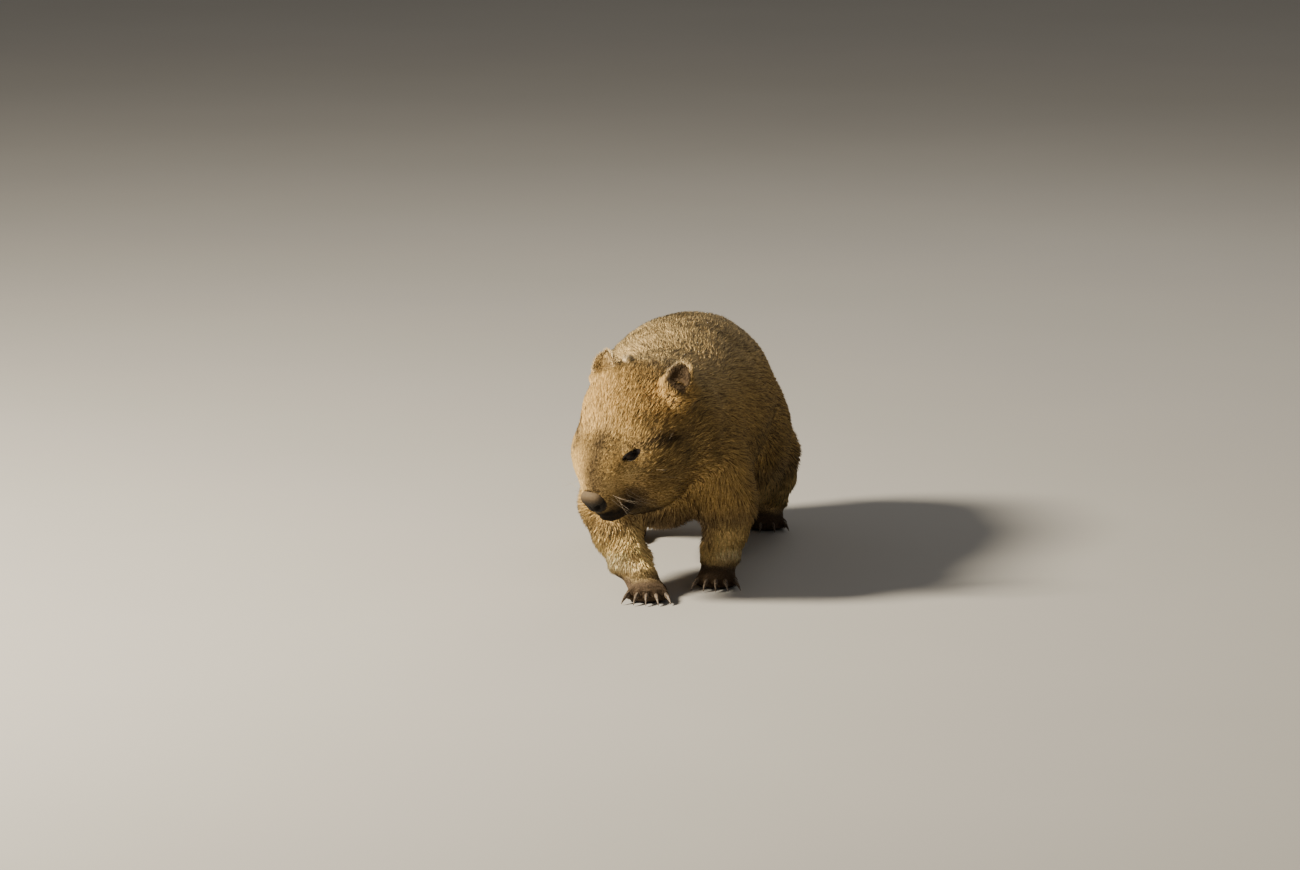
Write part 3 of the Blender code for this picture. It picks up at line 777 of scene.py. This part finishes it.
# Markings of the face and painted shade on it, in the head's axes: middle and half sizes of the spots and
# streaks on each side
markings = {
    "pouch": ((0.036, -0.006, -0.012), (0.014, 0.016, 0.009)),
    "beside": ((0.020, -0.026, -0.017), (0.009, 0.013, 0.009)),
    "underEyeShade": ((0.040, -0.004, -0.032), (0.020, 0.026, 0.014)),
    # the cheek spot is painted shade, behind and below the eye
    "cheek": ((0.058, 0.034, -0.030), (0.030, 0.034, 0.020)),
    # a painted shadow of the fur ridge behind each eye: its middle, half sizes and slope
    "shadowBehindEye": (0.060, 0.036, -0.006), "shadowBehindEyeHalf": (0.027, 0.0065), "shadowBehindEyeSlope": 0.48,
    "smudge": (-0.004, 0.022), "smudgeHalf": 0.011, "bridge": (0.006, 0.011), "wrist": (0.044, 0.009),
}


def coatTones(points, normals):
    # pale hair, dark hair, underfur, and what share of the hair is dark
    c, k = coatColours, markings
    r = regions(points, normals)
    h, m = r["head"], r["mirrored"]
    wide, fine = noise(points, 0.055), noise(points + 3.0, 0.016)
    pale = mixColour(c["pale"], c["backPale"], r["back"] * 0.85)
    pale = mixColour(pale, c["bellyPale"], r["belly"])
    pale = mixColour(pale, c["legPale"], r["leg"] * 0.9)
    gold = r["headness"] * ramp(-0.01, 0.05, h[:, 1]) * ramp(-0.04, 0.01, h[:, 2])
    pale = mixColour(pale, c["crownPale"], gold * (0.70 + 0.30 * wide))
    pouch, beside, underEyeShade, cheek = [spot(m, *k[name]) for name in ("pouch", "beside", "underEyeShade", "cheek")]
    pouch = np.maximum(pouch, 0.95 * beside) * r["headness"]
    pale = mixColour(pale, c["cheekPale"], pouch)
    dark = np.tile(c["dark"], (len(points), 1)).astype(float)
    share = c["darkShare"] + 0.09 * wide + 0.07 * fine - 0.22 * pouch
    share = share - 0.20 * r["leg"] - 0.10 * r["headness"] - 0.06 * r["back"]
    # a dusky smudge down the brow and the bridge, a painted shadow behind each eye, painted shade on the
    # sides of the muzzle, dark lips, and painted shade over the chin and the front under the nose
    smudge = bell(h[:, 0], 0, k["smudgeHalf"]) * bell(h[:, 1], *k["smudge"]) * ramp(0.0, 0.012, h[:, 2])
    above = (1 - ramp(-0.016, 0.006, h[:, 1])) * ramp(-0.030, -0.018, h[:, 2])
    smudge = np.maximum(smudge, 0.90 * bell(h[:, 0], *k["bridge"]) * above)
    behind = m - np.array(k["shadowBehindEye"])
    shadowBehindEye = bell(behind[:, 1], 0, k["shadowBehindEyeHalf"][0])
    shadowBehindEye = shadowBehindEye * bell(behind[:, 2] + k["shadowBehindEyeSlope"] * behind[:, 1], 0, k["shadowBehindEyeHalf"][1])
    mouth = alongLine(m, faceFolds["mouth"])
    # painted shade on the sides of the muzzle round the mouth
    muzzleShade = (1 - ramp(0.014, 0.042, mouth)) * ramp(0.008, 0.020, r["side"])
    share = share + (0.42 * smudge + 0.62 * shadowBehindEye + 0.40 * muzzleShade) * r["headness"]
    pale = mixColour(pale, c["smudge"], (0.62 * smudge + 0.66 * shadowBehindEye).clip(0, 1) * r["headness"])
    # painted shade under each eye and over the cheek behind it
    share = share + (0.34 * underEyeShade + 0.26 * cheek) * (1 + 0.5 * fine) * r["headness"]
    pale = mixColour(pale, c["smudge"], (0.60 * muzzleShade + 0.30 * underEyeShade).clip(0, 1) * r["headness"])
    # dark lips along the mouth, and painted shade over the chin and over the front under the nose
    lips = 1 - ramp(0.005, 0.018, mouth)
    chin = (1 - ramp(0.014, 0.034, r["side"])) * ramp(0.050, 0.060, -h[:, 2])
    chin = chin * (1 - ramp(0.0, 0.03, h[:, 1]))
    front = (1 - ramp(0.013, 0.022, r["side"])) * ramp(0.040, 0.050, -h[:, 2])
    front = front * (1 - ramp(-0.040, -0.030, h[:, 1]))
    lipsAndShade = np.maximum(np.maximum(lips, 0.85 * chin), front) * r["headness"]
    pale, dark = mixColour(pale, c["lip"], lipsAndShade), mixColour(dark, c["lip"], lipsAndShade)
    # feet darken quickly over the wrist, and the forelegs have a pale patch just above
    high = points[:, 2] + 0.006 * fine
    low = (1 - ramp(0.018, 0.042, high)) * (1 - r["headness"])
    outer = np.where(points[:, 0] > bodyLines["foreSplit"], 1, -1) * normals[:, 0] - 0.3 * normals[:, 1]
    wrist = bell(high, *k["wrist"]) * (points[:, 1] < -0.1) * ramp(-0.2, 0.6, outer)
    pale = mixColour(pale, c["wristPale"], 0.8 * wrist)
    share = share - 0.20 * wrist
    pale, dark = mixColour(pale, c["footPale"], low), mixColour(dark, c["footDark"], low)
    # ears: pale at the tip and along the inner edge; the cup brown with painted shade in it
    ear = r["earLocal"]
    inner = np.where(r["earSide"] > 0, -ear[:, 0], np.abs(ear[:, 0]))
    rim = 0.45 * ramp(0.028, 0.038, ear[:, 2]) + ramp(0.008, 0.016, inner) * ramp(0.012, 0.024, ear[:, 2])
    rim = np.clip(rim * (0.72 + 0.4 * fine), 0, 1) * (1 - 0.6 * r["earInside"])
    # painted shade in the cup: strong in the left ear, weak in the right
    shaded = r["earInside"] * np.where(r["earSide"] > 0, 0.95, 0.30)
    earPale = mixColour(mixColour(pale, c["earPale"], rim), c["earCupBrownAndShade"], shaded)
    pale = mixColour(pale, earPale, r["ear"])
    share = mix(share, 0.24 - 0.20 * rim + 0.4 * shaded, r["ear"])
    return pale, dark, mixColour(c["under"], pale * 0.35, 0.5), np.clip(share, 0.03, 0.95)


def skinColours(points, normals):
    c = coatColours
    pale, dark, under, share = coatTones(points, normals)
    colour = mixColour(under, mixColour(pale, dark, share), 0.40)
    r = regions(points)
    colour = mixColour(colour, c["sole"], r["sole"])
    colour = mixColour(colour, c["padEdge"], 1 - ramp(1.05, 1.35, toPad(r["head"])))
    for side in (1, -1):
        local = toEyeball(points, side)
        bare = (1 - ramp(1.02, 1.50, almond(local[:, 0], local[:, 1]))) * (local[:, 2] > 0)
        colour = mixColour(colour, c["eyeEdge"], bare)
    return colour


# The lie of the coat: from the nose back over the head, along the trunk, down the rump and legs
def hairFlow(points, normals):
    r = regions(points, normals)
    h = r["head"]
    flow = np.tile([0.0, 1.0, 0.0], (len(points), 1))
    flow[:, 2] -= 0.45 * np.abs(normals[:, 0])
    front = ramp(0.2, 0.7, -normals[:, 1]) * (1 - ramp(0.20, 0.27, points[:, 2]))
    flow = mixColour(flow, (0.0, 0.15, -1.0), front)
    tail = ramp(0.22, 0.28, points[:, 1]) * ramp(0.15, 0.6, normals[:, 1])
    flow = mixColour(flow, (0.0, 0.25, -1.0), tail)
    flow = mixColour(flow, (0.0, 0.22, -1.0), r["leg"])
    flow = mixColour(flow, (0.0, -1.0, -0.25), r["foot"])
    # on the head: away from a point before the nose, parting round the eyes
    headFlow = unit(h - np.array([0, -0.080, -0.022])) + np.array([0, 0.55, 0])
    headFlow[:, 2] -= 0.45 * ramp(0.0, 0.03, -h[:, 2] - 0.01)
    mirrorSign = np.sign(h[:, 0])[:, None] * np.array([1, 0, 0]) + np.array([0, 1, 1])
    away = unit(h - np.array(headPose["eye"]) * mirrorSign)
    headFlow = headFlow + away * (1.3 * bell(r["toEye"], 0, 0.014))[:, None]
    flow = mixColour(unit(flow), unit(headFlow) @ headAxes.T, r["headness"])
    ear = r["earLocal"]
    spread = 0.55 * np.sign(ear[:, 0]) * ramp(0.004, 0.016, np.abs(ear[:, 0]))
    outward = np.stack([spread, 0.15 + 0 * spread, 1 + 0 * spread], axis=1)
    for side in (1, -1):
        flow = mixColour(flow, outward @ earAxes(side)[1].T @ headAxes.T, r["ear"] * (r["earSide"] == side))
    swirl = np.stack([noise(points + shift, 0.045) for shift in (1.0, 5.0, 9.0)], axis=1)
    flow = unit(flow) + 0.28 * swirl
    return unit(flow - normals * np.sum(flow * normals, axis=1, keepdims=True))


# The coat: length, half width, how far tufts stand off the skin, and how many to a square centimetre
coatShape = {
    "tufts": 372000, "layers": 8, "patch": 0.003,
    "length": 0.0172, "width": 0.00041, "fineWidth": 0.50, "headWidth": 0.76, "sunk": 0.05,
    "lift": 0.56, "faceLift": 0.46, "earLift": 0.45, "footLift": 0.36, "droop": 0.44,
    "crownLength": 0.0118, "faceLength": 0.0078, "muzzleLength": 0.0044, "lipLength": 0.0026,
    "eyeLength": 0.0042, "legLength": 0.0128, "footLength": 0.0056,
    "earLength": 0.0088, "earInsideLength": 0.0066, "rimLength": 0.0120,
    "density": 72.0, "headDensity": 105.0, "faceDensity": 185.0, "muzzleDensity": 260.0,
    "legDensity": 82.0, "footDensity": 140.0, "earDensity": 170.0,
}


def coatLength(r):
    c = coatShape
    crown = r["headness"] * (1 - ramp(0.05, 0.12, r["head"][:, 1]))
    nearEye = bell(r["toEye"], 0.009, 0.009) * r["headness"]
    lips = (1 - ramp(0.002, 0.009, alongLine(r["mirrored"], faceFolds["mouth"]))) * r["headness"]
    length = layered(c, "length", [
        ("crownLength", crown), ("faceLength", r["face"]), ("muzzleLength", r["muzzle"]),
        ("eyeLength", nearEye), ("lipLength", lips), ("legLength", r["leg"]), ("footLength", r["foot"])])
    inner = -r["earLocal"][:, 0] * r["earSide"]
    rim = ramp(0.009, 0.016, inner) * ramp(0.008, 0.020, r["earLocal"][:, 2])
    earLength = mix(mix(c["earLength"], c["rimLength"], rim), c["earInsideLength"], r["earInside"])
    return mix(length, earLength, r["ear"])


def coatDensity(r):
    c = coatShape
    density = layered(c, "density", [
        ("headDensity", r["headness"]), ("faceDensity", r["face"]), ("muzzleDensity", r["muzzle"]),
        ("legDensity", r["leg"]), ("footDensity", r["foot"])])
    density = mix(density, c["earDensity"] * (1 - 0.4 * r["earInside"]), r["ear"])
    return density * (1 - 0.45 * r["belly"]) * (1 - r["sole"])


def isBare(points, normals, onLid):  # the nose pad, the slit of the eye and what the lids cover
    bare = (toPad(toHead(points)) < 0.99) & ~onLid
    for side in (1, -1):
        local = toEyeball(points, side)
        out = np.hypot(local[:, 0] / eyeShape["outer"][0], local[:, 1] / eyeShape["outer"][1])
        near = (out < 1.1) & (local[:, 2] > eyeShape["behind"])
        bare |= near & ~onLid & (out < 0.90)
        outward = normals @ headAxes @ eyeFrame(side)[:, 2]
        bare |= near & onLid & ((almond(local[:, 0], local[:, 1]) < 1.04) | (outward < 0.25) | (out > 0.93))
    return bare


def scatterRoots(points, faces, normals, onLid, count):
    corners = points[faces]
    cross = np.cross(corners[:, 1] - corners[:, 0], corners[:, 2] - corners[:, 0])
    middle = corners.mean(axis=1)
    faceNormals = unit(cross)
    bare = isBare(middle, faceNormals, onLid)
    weight = np.linalg.norm(cross, axis=1) / 2 * coatDensity(regions(middle, faceNormals)) * ~bare
    total = np.cumsum(weight)
    print("coat: for the densities given, tufts wanted:", int(total[-1] * 1e4))
    place = (np.arange(count) + chance.random(count)) / count * total[-1]
    face = np.minimum(np.searchsorted(total, place), len(faces) - 1)
    first, second = np.sqrt(chance.random(count)), chance.random(count)
    share = np.stack([1 - first, first * (1 - second), first * second], axis=1)
    roots = np.einsum("nk,nkc->nc", share, corners[face])
    return roots, unit(np.einsum("nk,nkc->nc", share, normals[faces[face]]))


def makeCoat(surfacePoints, surfaceFaces, surfaceNormals, onLid):
    # each tuft is a thin blade: a point under the skin, an edge across at two fifths, a point at the tip
    c = coatShape
    count = c["tufts"]
    roots, normals = scatterRoots(surfacePoints, surfaceFaces, surfaceNormals, onLid, count)
    r = regions(roots, normals)
    flow = hairFlow(roots, normals)
    length = coatLength(r) * (1 + 0.17 * chance.standard_normal(count).clip(-2, 1.2))
    lift = c["lift"] * (1 + 0.16 * chance.standard_normal(count).clip(-2, 1.3)) + 0.06 * noise(roots, 0.02)
    for name, part in (("faceLift", "face"), ("earLift", "ear"), ("footLift", "foot")):
        lift = mix(lift, c[name], r[part])
    lift = np.clip(lift, 0.12, 0.9)[:, None]
    veer = 0.16 * chance.standard_normal(count) + 0.24 * noise(roots + 7.0, 0.012)
    along = unit(flow + np.cross(flow, normals) * veer[:, None])
    side = np.cross(along, normals)
    width = c["width"] * (1 + 0.28 * chance.standard_normal(count).clip(-2, 2))
    fineHair = np.maximum(r["face"], np.maximum(r["foot"], r["ear"]))
    width = width * mix(1.0, c["fineWidth"], fineHair) * mix(1, c["headWidth"], r["headness"])
    droop = np.clip(lift - c["droop"], -0.04, 0.4)
    low = np.cos(lift) * along + np.sin(lift) * normals
    high = np.cos(droop) * along + np.sin(droop) * normals
    start = roots - normals * (c["sunk"] * length)[:, None]
    bend = start + low * (length * 0.38)[:, None]
    tip = bend + high * (length * 0.66)[:, None]
    wide = side * width[:, None]
    points = np.stack([start, bend - wide, bend + wide, tip], axis=1)
    points[:, :, 2] = np.maximum(points[:, :, 2], 0.0003)
    # colours: underfur at the root, then pale or dark hair, some with the tip of the other kind
    pale, dark, under, share = coatTones(roots, normals)
    pick = ramp(-0.30, 0.30, share - chance.random(count))
    shade = 1 + 0.16 * chance.standard_normal((count, 1)).clip(-2, 2)
    tone = mixColour(pale, dark, pick) * shade
    tipTone = mixColour(tone, mixColour(pale, dark, chance.random(count) < 0.35), 0.55 * chance.random(count))
    colours = np.stack([under * 0.9, tone, tone, tipTone], axis=1).clip(0.004, 0.90)
    patch = np.array([(0.5, 0), (0, 0.45), (1, 0.45), (0.5, 1)]) * c["patch"]
    places = mapPoints(roots)[:, None, :] + (patch - c["patch"] / 2)[None]
    faces = np.array([(0, 2, 1), (3, 1, 2), (0, 1, 3), (0, 3, 2)])
    layer = chance.permutation(count) % c["layers"]
    pieces = []
    for index in range(c["layers"]):
        own = layer == index
        pieceFaces = (faces[None] + 4 * np.arange(own.sum())[:, None, None]).reshape(-1, 3)
        piece = makeObject("coat_" + str(index + 1), points[own].reshape(-1, 3), pieceFaces)
        addColours(piece, "furColour", colours[own].reshape(-1, 3))
        addMap(piece, places[own].reshape(-1, 2)[pieceFaces.ravel()])
        pieces.append(piece)
    return pieces


def makeFurry():  # colour the skin and the lids, and lay the coat over both
    skin = makeObject("skin", skinPoints, skinFaces)
    addColours(skin, "furColour", skinColours(skinPoints, skinNormals))
    addMap(skin, mapFaces(skinPoints, skinFaces))
    points, faces, normals = [skinPoints], [skinFaces], [skinNormals]
    start = len(skinPoints)
    for lid in lids:
        lidPoints, lidFaces = readMesh(lid.data)
        lidNormals = vertexNormals(lidPoints, lidFaces)
        addColours(lid, "furColour", skinColours(lidPoints, lidNormals))
        points.append(lidPoints)
        faces.append(lidFaces + start)
        normals.append(lidNormals)
        start += len(lidPoints)
    faces = np.concatenate(faces)
    onLid = np.arange(len(faces)) >= len(skinFaces)
    return skin, makeCoat(np.concatenate(points), faces, np.concatenate(normals), onLid)


skin, coat = makeFurry()
print("coat:", len(coat), "pieces,", sum(len(piece.data.polygons) for piece in coat), "triangles")


# Claws: horn carried along a path that leaves each toe and bends down to the floor. At share s it is
# length (s - lag s^2) out and rise s - (height + rise - rest) s^2 up, and its radius falls with a power of s
def makeClaws():
    c = clawShape
    rings, sides = 17, 14
    s = np.linspace(c["start"], 1, rings)[None, :, None]
    root, forward = toes[:, None, :3], toes[:, None, 3:6]
    length, radius = toes[:, 6][:, None, None], toes[:, 7][:, None, None]
    up = np.array([0, 0, 1.0])
    rise, fall = c["rise"], c["rootHeight"] + c["rise"] - c["rest"]
    path = root + forward * length * (s - c["lag"] * s ** 2) + up * (rise * s - fall * s ** 2)
    tangent = unit(forward * length * (1 - 2 * c["lag"] * s) + up * (rise - 2 * fall * s))
    side = np.cross(forward, up)
    over = np.cross(side, tangent)
    radius = radius * (1 - c["thinning"] * np.clip(s, 0, 1) ** c["thinningPower"])
    angle = np.linspace(0, 2 * math.pi, sides, endpoint=False)
    around = np.cos(angle)[:, None] * c["flatness"] * side[:, :, None]
    around = around + np.sin(angle)[:, None] * over[:, :, None]
    points = path[:, :, None] + radius[:, :, None] * around
    points[..., 2] = np.maximum(points[..., 2], 0.0002)
    one = np.concatenate([gridFaces(rings, sides), capFaces(rings, sides)])
    faces = one[None] + rings * sides * np.arange(len(toes))[:, None, None]
    return facesOutward(makeObject("claws", points.reshape(-1, 3), faces.reshape(-1, 4)))


claws = makeClaws()
print("claws done")


# Whiskers: thin tubes that taper to a point, curving back and a little down from the muzzle.
# A point at share s of one is root + length (s out + droop s^2 down)
whiskerShape = {"radius": 0.00014, "thinning": 0.86, "length": 0.046, "sunk": 0.0015}
# Each group: number, two corners of the box its roots lie in, direction, and share of the length
whiskerGroups = {
    "muzzle": (11, (0.017, -0.040, -0.040), (0.029, -0.012, -0.026), (1.0, -0.10, -0.30), 1.0),
    "brow": (2, (0.030, -0.010, 0.016), (0.044, 0.006, 0.018), (0.45, -0.35, 1.0), 0.55),
    "cheek": (3, (0.045, 0.010, -0.030), (0.052, 0.030, -0.020), (1.0, 0.10, -0.25), 0.70),
    "chin": (5, (0.004, -0.042, -0.056), (0.024, -0.010, -0.058), (0.50, -0.35, -1.0), 0.42),
}


def whiskerRoots(side):  # head coordinates, direction and length of each whisker of one side
    roll = chance.random((sum(group[0] for group in whiskerGroups.values()), 3))
    rows, start = [], 0
    for number, low, high, out, share in whiskerGroups.values():
        place = np.array(low) + roll[start:start + number] * (np.array(high) - np.array(low))
        start += number
        way = unit(np.array(out) + 0.45 * chance.standard_normal((number, 3)))
        length = whiskerShape["length"] * share * (0.55 + 0.6 * chance.random(number))
        rows.append(np.concatenate([place, way, length[:, None]], axis=1))
    rows = np.concatenate(rows)
    rows[:, 0] *= side
    rows[:, 3] *= side
    return rows


def makeWhiskers():
    rows = np.concatenate([whiskerRoots(1), whiskerRoots(-1)])
    wanted = fromHead(rows[:, :3])
    near = np.array([np.argmin(np.sum((skinPoints - place) ** 2, axis=1)) for place in wanted])
    roots = skinPoints[near] - whiskerShape["sunk"] * skinNormals[near]
    way = unit(rows[:, 3:6] @ headAxes.T + 0.5 * skinNormals[near])
    length = rows[:, 6] + whiskerShape["sunk"]
    rings, sides = 9, 5
    share = np.linspace(0, 1, rings)[None, :, None]
    back = headAxes @ np.array([0, 0.55, -0.25])
    curl = (0.30 + 0.5 * chance.random(len(rows)))[:, None, None]
    path = roots[:, None] + length[:, None, None] * (share * way[:, None] + curl * share ** 2 * back)
    side = unit(np.cross(way, np.array([0.05, 0.1, 1.0])))
    over = np.cross(way, side)
    angle = np.linspace(0, 2 * math.pi, sides, endpoint=False)
    circle = np.cos(angle)[None, :, None] * side[:, None] + np.sin(angle)[None, :, None] * over[:, None]
    radius = whiskerShape["radius"] * (1 - whiskerShape["thinning"] * share)
    points = path[:, :, None] + radius[:, :, None] * circle[:, None]
    starts = rings * sides * np.arange(len(rows))[:, None, None]
    tubes = halved((gridFaces(rings, sides)[None] + starts).reshape(-1, 4))
    fan = np.array([(0, 1, 2), (0, 2, 3), (0, 3, 4)])
    caps = np.concatenate([(fan[:, ::-1][None] + starts), (fan[None] + starts + (rings - 1) * sides)])
    faces = np.concatenate([tubes, caps.reshape(-1, 3)])
    return facesOutward(makeObject("whiskers", points.reshape(-1, 3), faces))


whiskers = makeWhiskers()
print("whiskers done")


# Finishes


def newFinish(name, values):
    finish = bpy.data.materials.new(name)
    finish.use_nodes = True
    shader = finish.node_tree.nodes["Principled BSDF"]
    for socket, value in values.items():
        shader.inputs[socket].default_value = value
    return finish, finish.node_tree, shader


def speckle(tree, scale, detail, stretch=(1, 1, 1)):  # noise on the piece's own coordinates
    place = tree.nodes.new("ShaderNodeTexCoord")
    mapping = tree.nodes.new("ShaderNodeMapping")
    mapping.inputs["Scale"].default_value = stretch
    texture = tree.nodes.new("ShaderNodeTexNoise")
    texture.inputs["Scale"].default_value = scale
    texture.inputs["Detail"].default_value = detail
    tree.links.new(place.outputs["Object"], mapping.inputs["Vector"])
    tree.links.new(mapping.outputs["Vector"], texture.inputs["Vector"])
    return texture.outputs["Fac"]


def graded(tree, factor, stops):  # a colour ramp read by a factor
    colourRamp = tree.nodes.new("ShaderNodeValToRGB")
    elements = colourRamp.color_ramp.elements
    for index, (place, colour) in enumerate(stops):
        element = elements[index] if index < 2 else elements.new(place)
        element.position = place
        element.color = (*colour, 1)
    tree.links.new(factor, colourRamp.inputs["Fac"])
    return colourRamp.outputs["Color"]


def multiplied(tree, first, second):
    node = tree.nodes.new("ShaderNodeMix")
    node.data_type = "RGBA"
    node.blend_type = "MULTIPLY"
    node.inputs["Factor"].default_value = 1.0
    tree.links.new(first, node.inputs["A"])
    tree.links.new(second, node.inputs["B"])
    return node.outputs["Result"]


def roughen(tree, shader, height, strength, distance):
    bump = tree.nodes.new("ShaderNodeBump")
    bump.inputs["Strength"].default_value = strength
    bump.inputs["Distance"].default_value = distance
    tree.links.new(height, bump.inputs["Height"])
    tree.links.new(bump.outputs["Normal"], shader.inputs["Normal"])


def furFinish(name, values, scale, strength, distance):
    finish, tree, shader = newFinish(name, values)
    colour = tree.nodes.new("ShaderNodeAttribute")
    colour.attribute_name = "furColour"
    grain = speckle(tree, scale, 3.0)
    shade = graded(tree, grain, [(0.30, (0.78, 0.76, 0.74)), (0.70, (1.22, 1.20, 1.16))])
    tree.links.new(multiplied(tree, colour.outputs["Color"], shade), shader.inputs["Base Color"])
    roughen(tree, shader, grain, strength, distance)
    return finish


def grainFinish(name, values, grain, stops, bump=None):  # a colour ramp over one noise, and its bump
    finish, tree, shader = newFinish(name, values)
    factor = speckle(tree, *grain)
    tree.links.new(graded(tree, factor, stops), shader.inputs["Base Color"])
    if bump:
        roughen(tree, shader, factor, *bump)
    return finish


finishes = {
    "coat": furFinish("hairyCoat", {"Roughness": 0.78, "Specular IOR Level": 0.22}, 420.0, 0.25, 0.0003),
    "skin": furFinish("underfurSkin", {"Roughness": 0.85, "Specular IOR Level": 0.15}, 900.0, 0.8, 0.0008),
    "lid": furFinish("lidSkin", {"Roughness": 0.70, "Specular IOR Level": 0.18}, 900.0, 0.5, 0.0003),
    "nose": furFinish("nosePadSkin", {"Roughness": 0.68, "Specular IOR Level": 0.22}, 1500.0, 1.0, 0.0006),
    "eye": grainFinish(
        "wetEye",
        {"Roughness": 0.10, "Specular IOR Level": 0.12, "Coat Weight": 0.05, "Coat Roughness": 0.04},
        (260.0, 4.0), [(0.35, (0.006, 0.004, 0.003)), (0.70, (0.022, 0.012, 0.007))]),
    "claw": grainFinish(
        "horn", {"Roughness": 0.50, "Specular IOR Level": 0.35}, (620.0, 4.0, (1.0, 0.10, 1.0)),
        [(0.34, (0.034, 0.025, 0.018)), (0.66, (0.21, 0.16, 0.115))], (0.4, 0.0002)),
    "whisker": grainFinish(
        "whiskerHair", {"Roughness": 0.45, "Specular IOR Level": 0.5}, (90.0, 2.0),
        [(0.35, (0.20, 0.15, 0.10)), (0.65, (0.42, 0.34, 0.24))]),
}

def dress(piece, finish):
    piece.data.materials.clear()
    piece.data.materials.append(finishes[finish])
    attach(piece, "root")


dress(skin, "skin")
for piece in coat:
    dress(piece, "coat")
for piece in eyes:
    dress(piece, "eye")
for piece in lids:
    dress(piece, "lid")
dress(nosePad, "nose")
dress(claws, "claw")
dress(whiskers, "whisker")

clawNodes = [name for name in nodes if "_claw_" in name]
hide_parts(*fleshNodes, "ear_left", "ear_right")
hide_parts("eye_left")
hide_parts("eye_right")
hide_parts("nose")
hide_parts(*clawNodes)
print("finishes done")


# Floor, light and camera
stageShape = {
    "floor": 30.0, "floorColour": (0.40, 0.385, 0.36), "air": (0.90, 0.88, 0.86), "airStrength": 0.17,
}
lampShape = {  # place, what it shines at, power, size and colour
    "keyLamp": ((-2.6, -1.1, 2.2), (0, 0, 0.15), 430.0, 0.8, (1.0, 0.90, 0.72)),
    "fillLamp": ((1.8, -2.8, 1.6), (0, 0, 0.15), 6.0, 2.6, (1.0, 0.98, 0.95)),
    "backLamp": ((0.6, 2.6, 2.4), (0, 0, 0.20), 20.0, 1.8, (1.0, 0.96, 0.90)),
}


def makeFloor():
    half = stageShape["floor"] / 2
    grid = np.linspace(-half, half, 13)
    x, y = np.meshgrid(grid, grid)
    points = np.stack([x.ravel(), y.ravel(), np.zeros(x.size)], axis=1)
    floor = makeObject("floor", points, gridFaces(13, 13, wrapColumns=False))
    high = stageShape["floorColour"]
    stops = [(0.3, tuple(value * 0.97 for value in high)), (0.7, high)]
    values = {"Roughness": 0.9, "Specular IOR Level": 0.15}
    floor.data.materials.append(grainFinish("paleFloor", values, (2.0, 3.0), stops))


def makeLamp(name, place, target, power, size, colour):
    lamp = bpy.data.lights.new(name, "AREA")
    lamp.shape = "DISK"
    lamp.size = size
    lamp.energy = power
    lamp.color = colour
    obj = bpy.data.objects.new(name, lamp)
    bpy.context.scene.collection.objects.link(obj)
    obj.location = place
    way = unit(np.array(target) - np.array(place))
    side = unit(np.cross(way, np.array([0.0, 0.0, 1.0])))
    turnTo(obj, side, np.cross(side, way), -way, place)


def turnTo(obj, right, up, back, place):
    rows = [[right[i], up[i], back[i], place[i]] for i in range(3)]
    obj.matrix_world = Matrix(rows + [[0, 0, 0, 1]])


makeFloor()
for name, values in lampShape.items():
    makeLamp(name, *values)

world = bpy.data.worlds.new("air")
world.use_nodes = True
air = world.node_tree.nodes["Background"]
air.inputs["Color"].default_value = (*stageShape["air"], 1)
air.inputs["Strength"].default_value = stageShape["airStrength"]
bpy.context.scene.world = world

cameraShape = {"azimuth": 6.0, "elevation": 10.0, "distance": 8.0, "metresPerPixel": 0.00122,
               "middle": (-0.0324, 0.1627), "anchor": (0.0, -0.05, 0.15), "shift": (-0.0002, -0.0552, 0.0)}


def makeCamera():
    c = cameraShape
    azimuth, elevation = math.radians(c["azimuth"]), math.radians(c["elevation"])
    right = np.array([math.cos(azimuth), math.sin(azimuth), 0])
    back = np.array([math.sin(azimuth) * math.cos(elevation), -math.cos(azimuth) * math.cos(elevation),
                     math.sin(elevation)])
    up = np.cross(back, right)
    middle = c["middle"][0] * right + c["middle"][1] * up + back * back.dot(np.array(c["anchor"]))
    middle = middle + c["shift"]
    data = bpy.data.cameras.new("camera")
    data.sensor_width = 36
    data.lens = 36 * c["distance"] / (1300 * c["metresPerPixel"])
    data.clip_end = 100
    camera = bpy.data.objects.new("camera", data)
    bpy.context.scene.collection.objects.link(camera)
    turnTo(camera, right, up, back, middle + c["distance"] * back)
    bpy.context.scene.camera = camera


makeCamera()
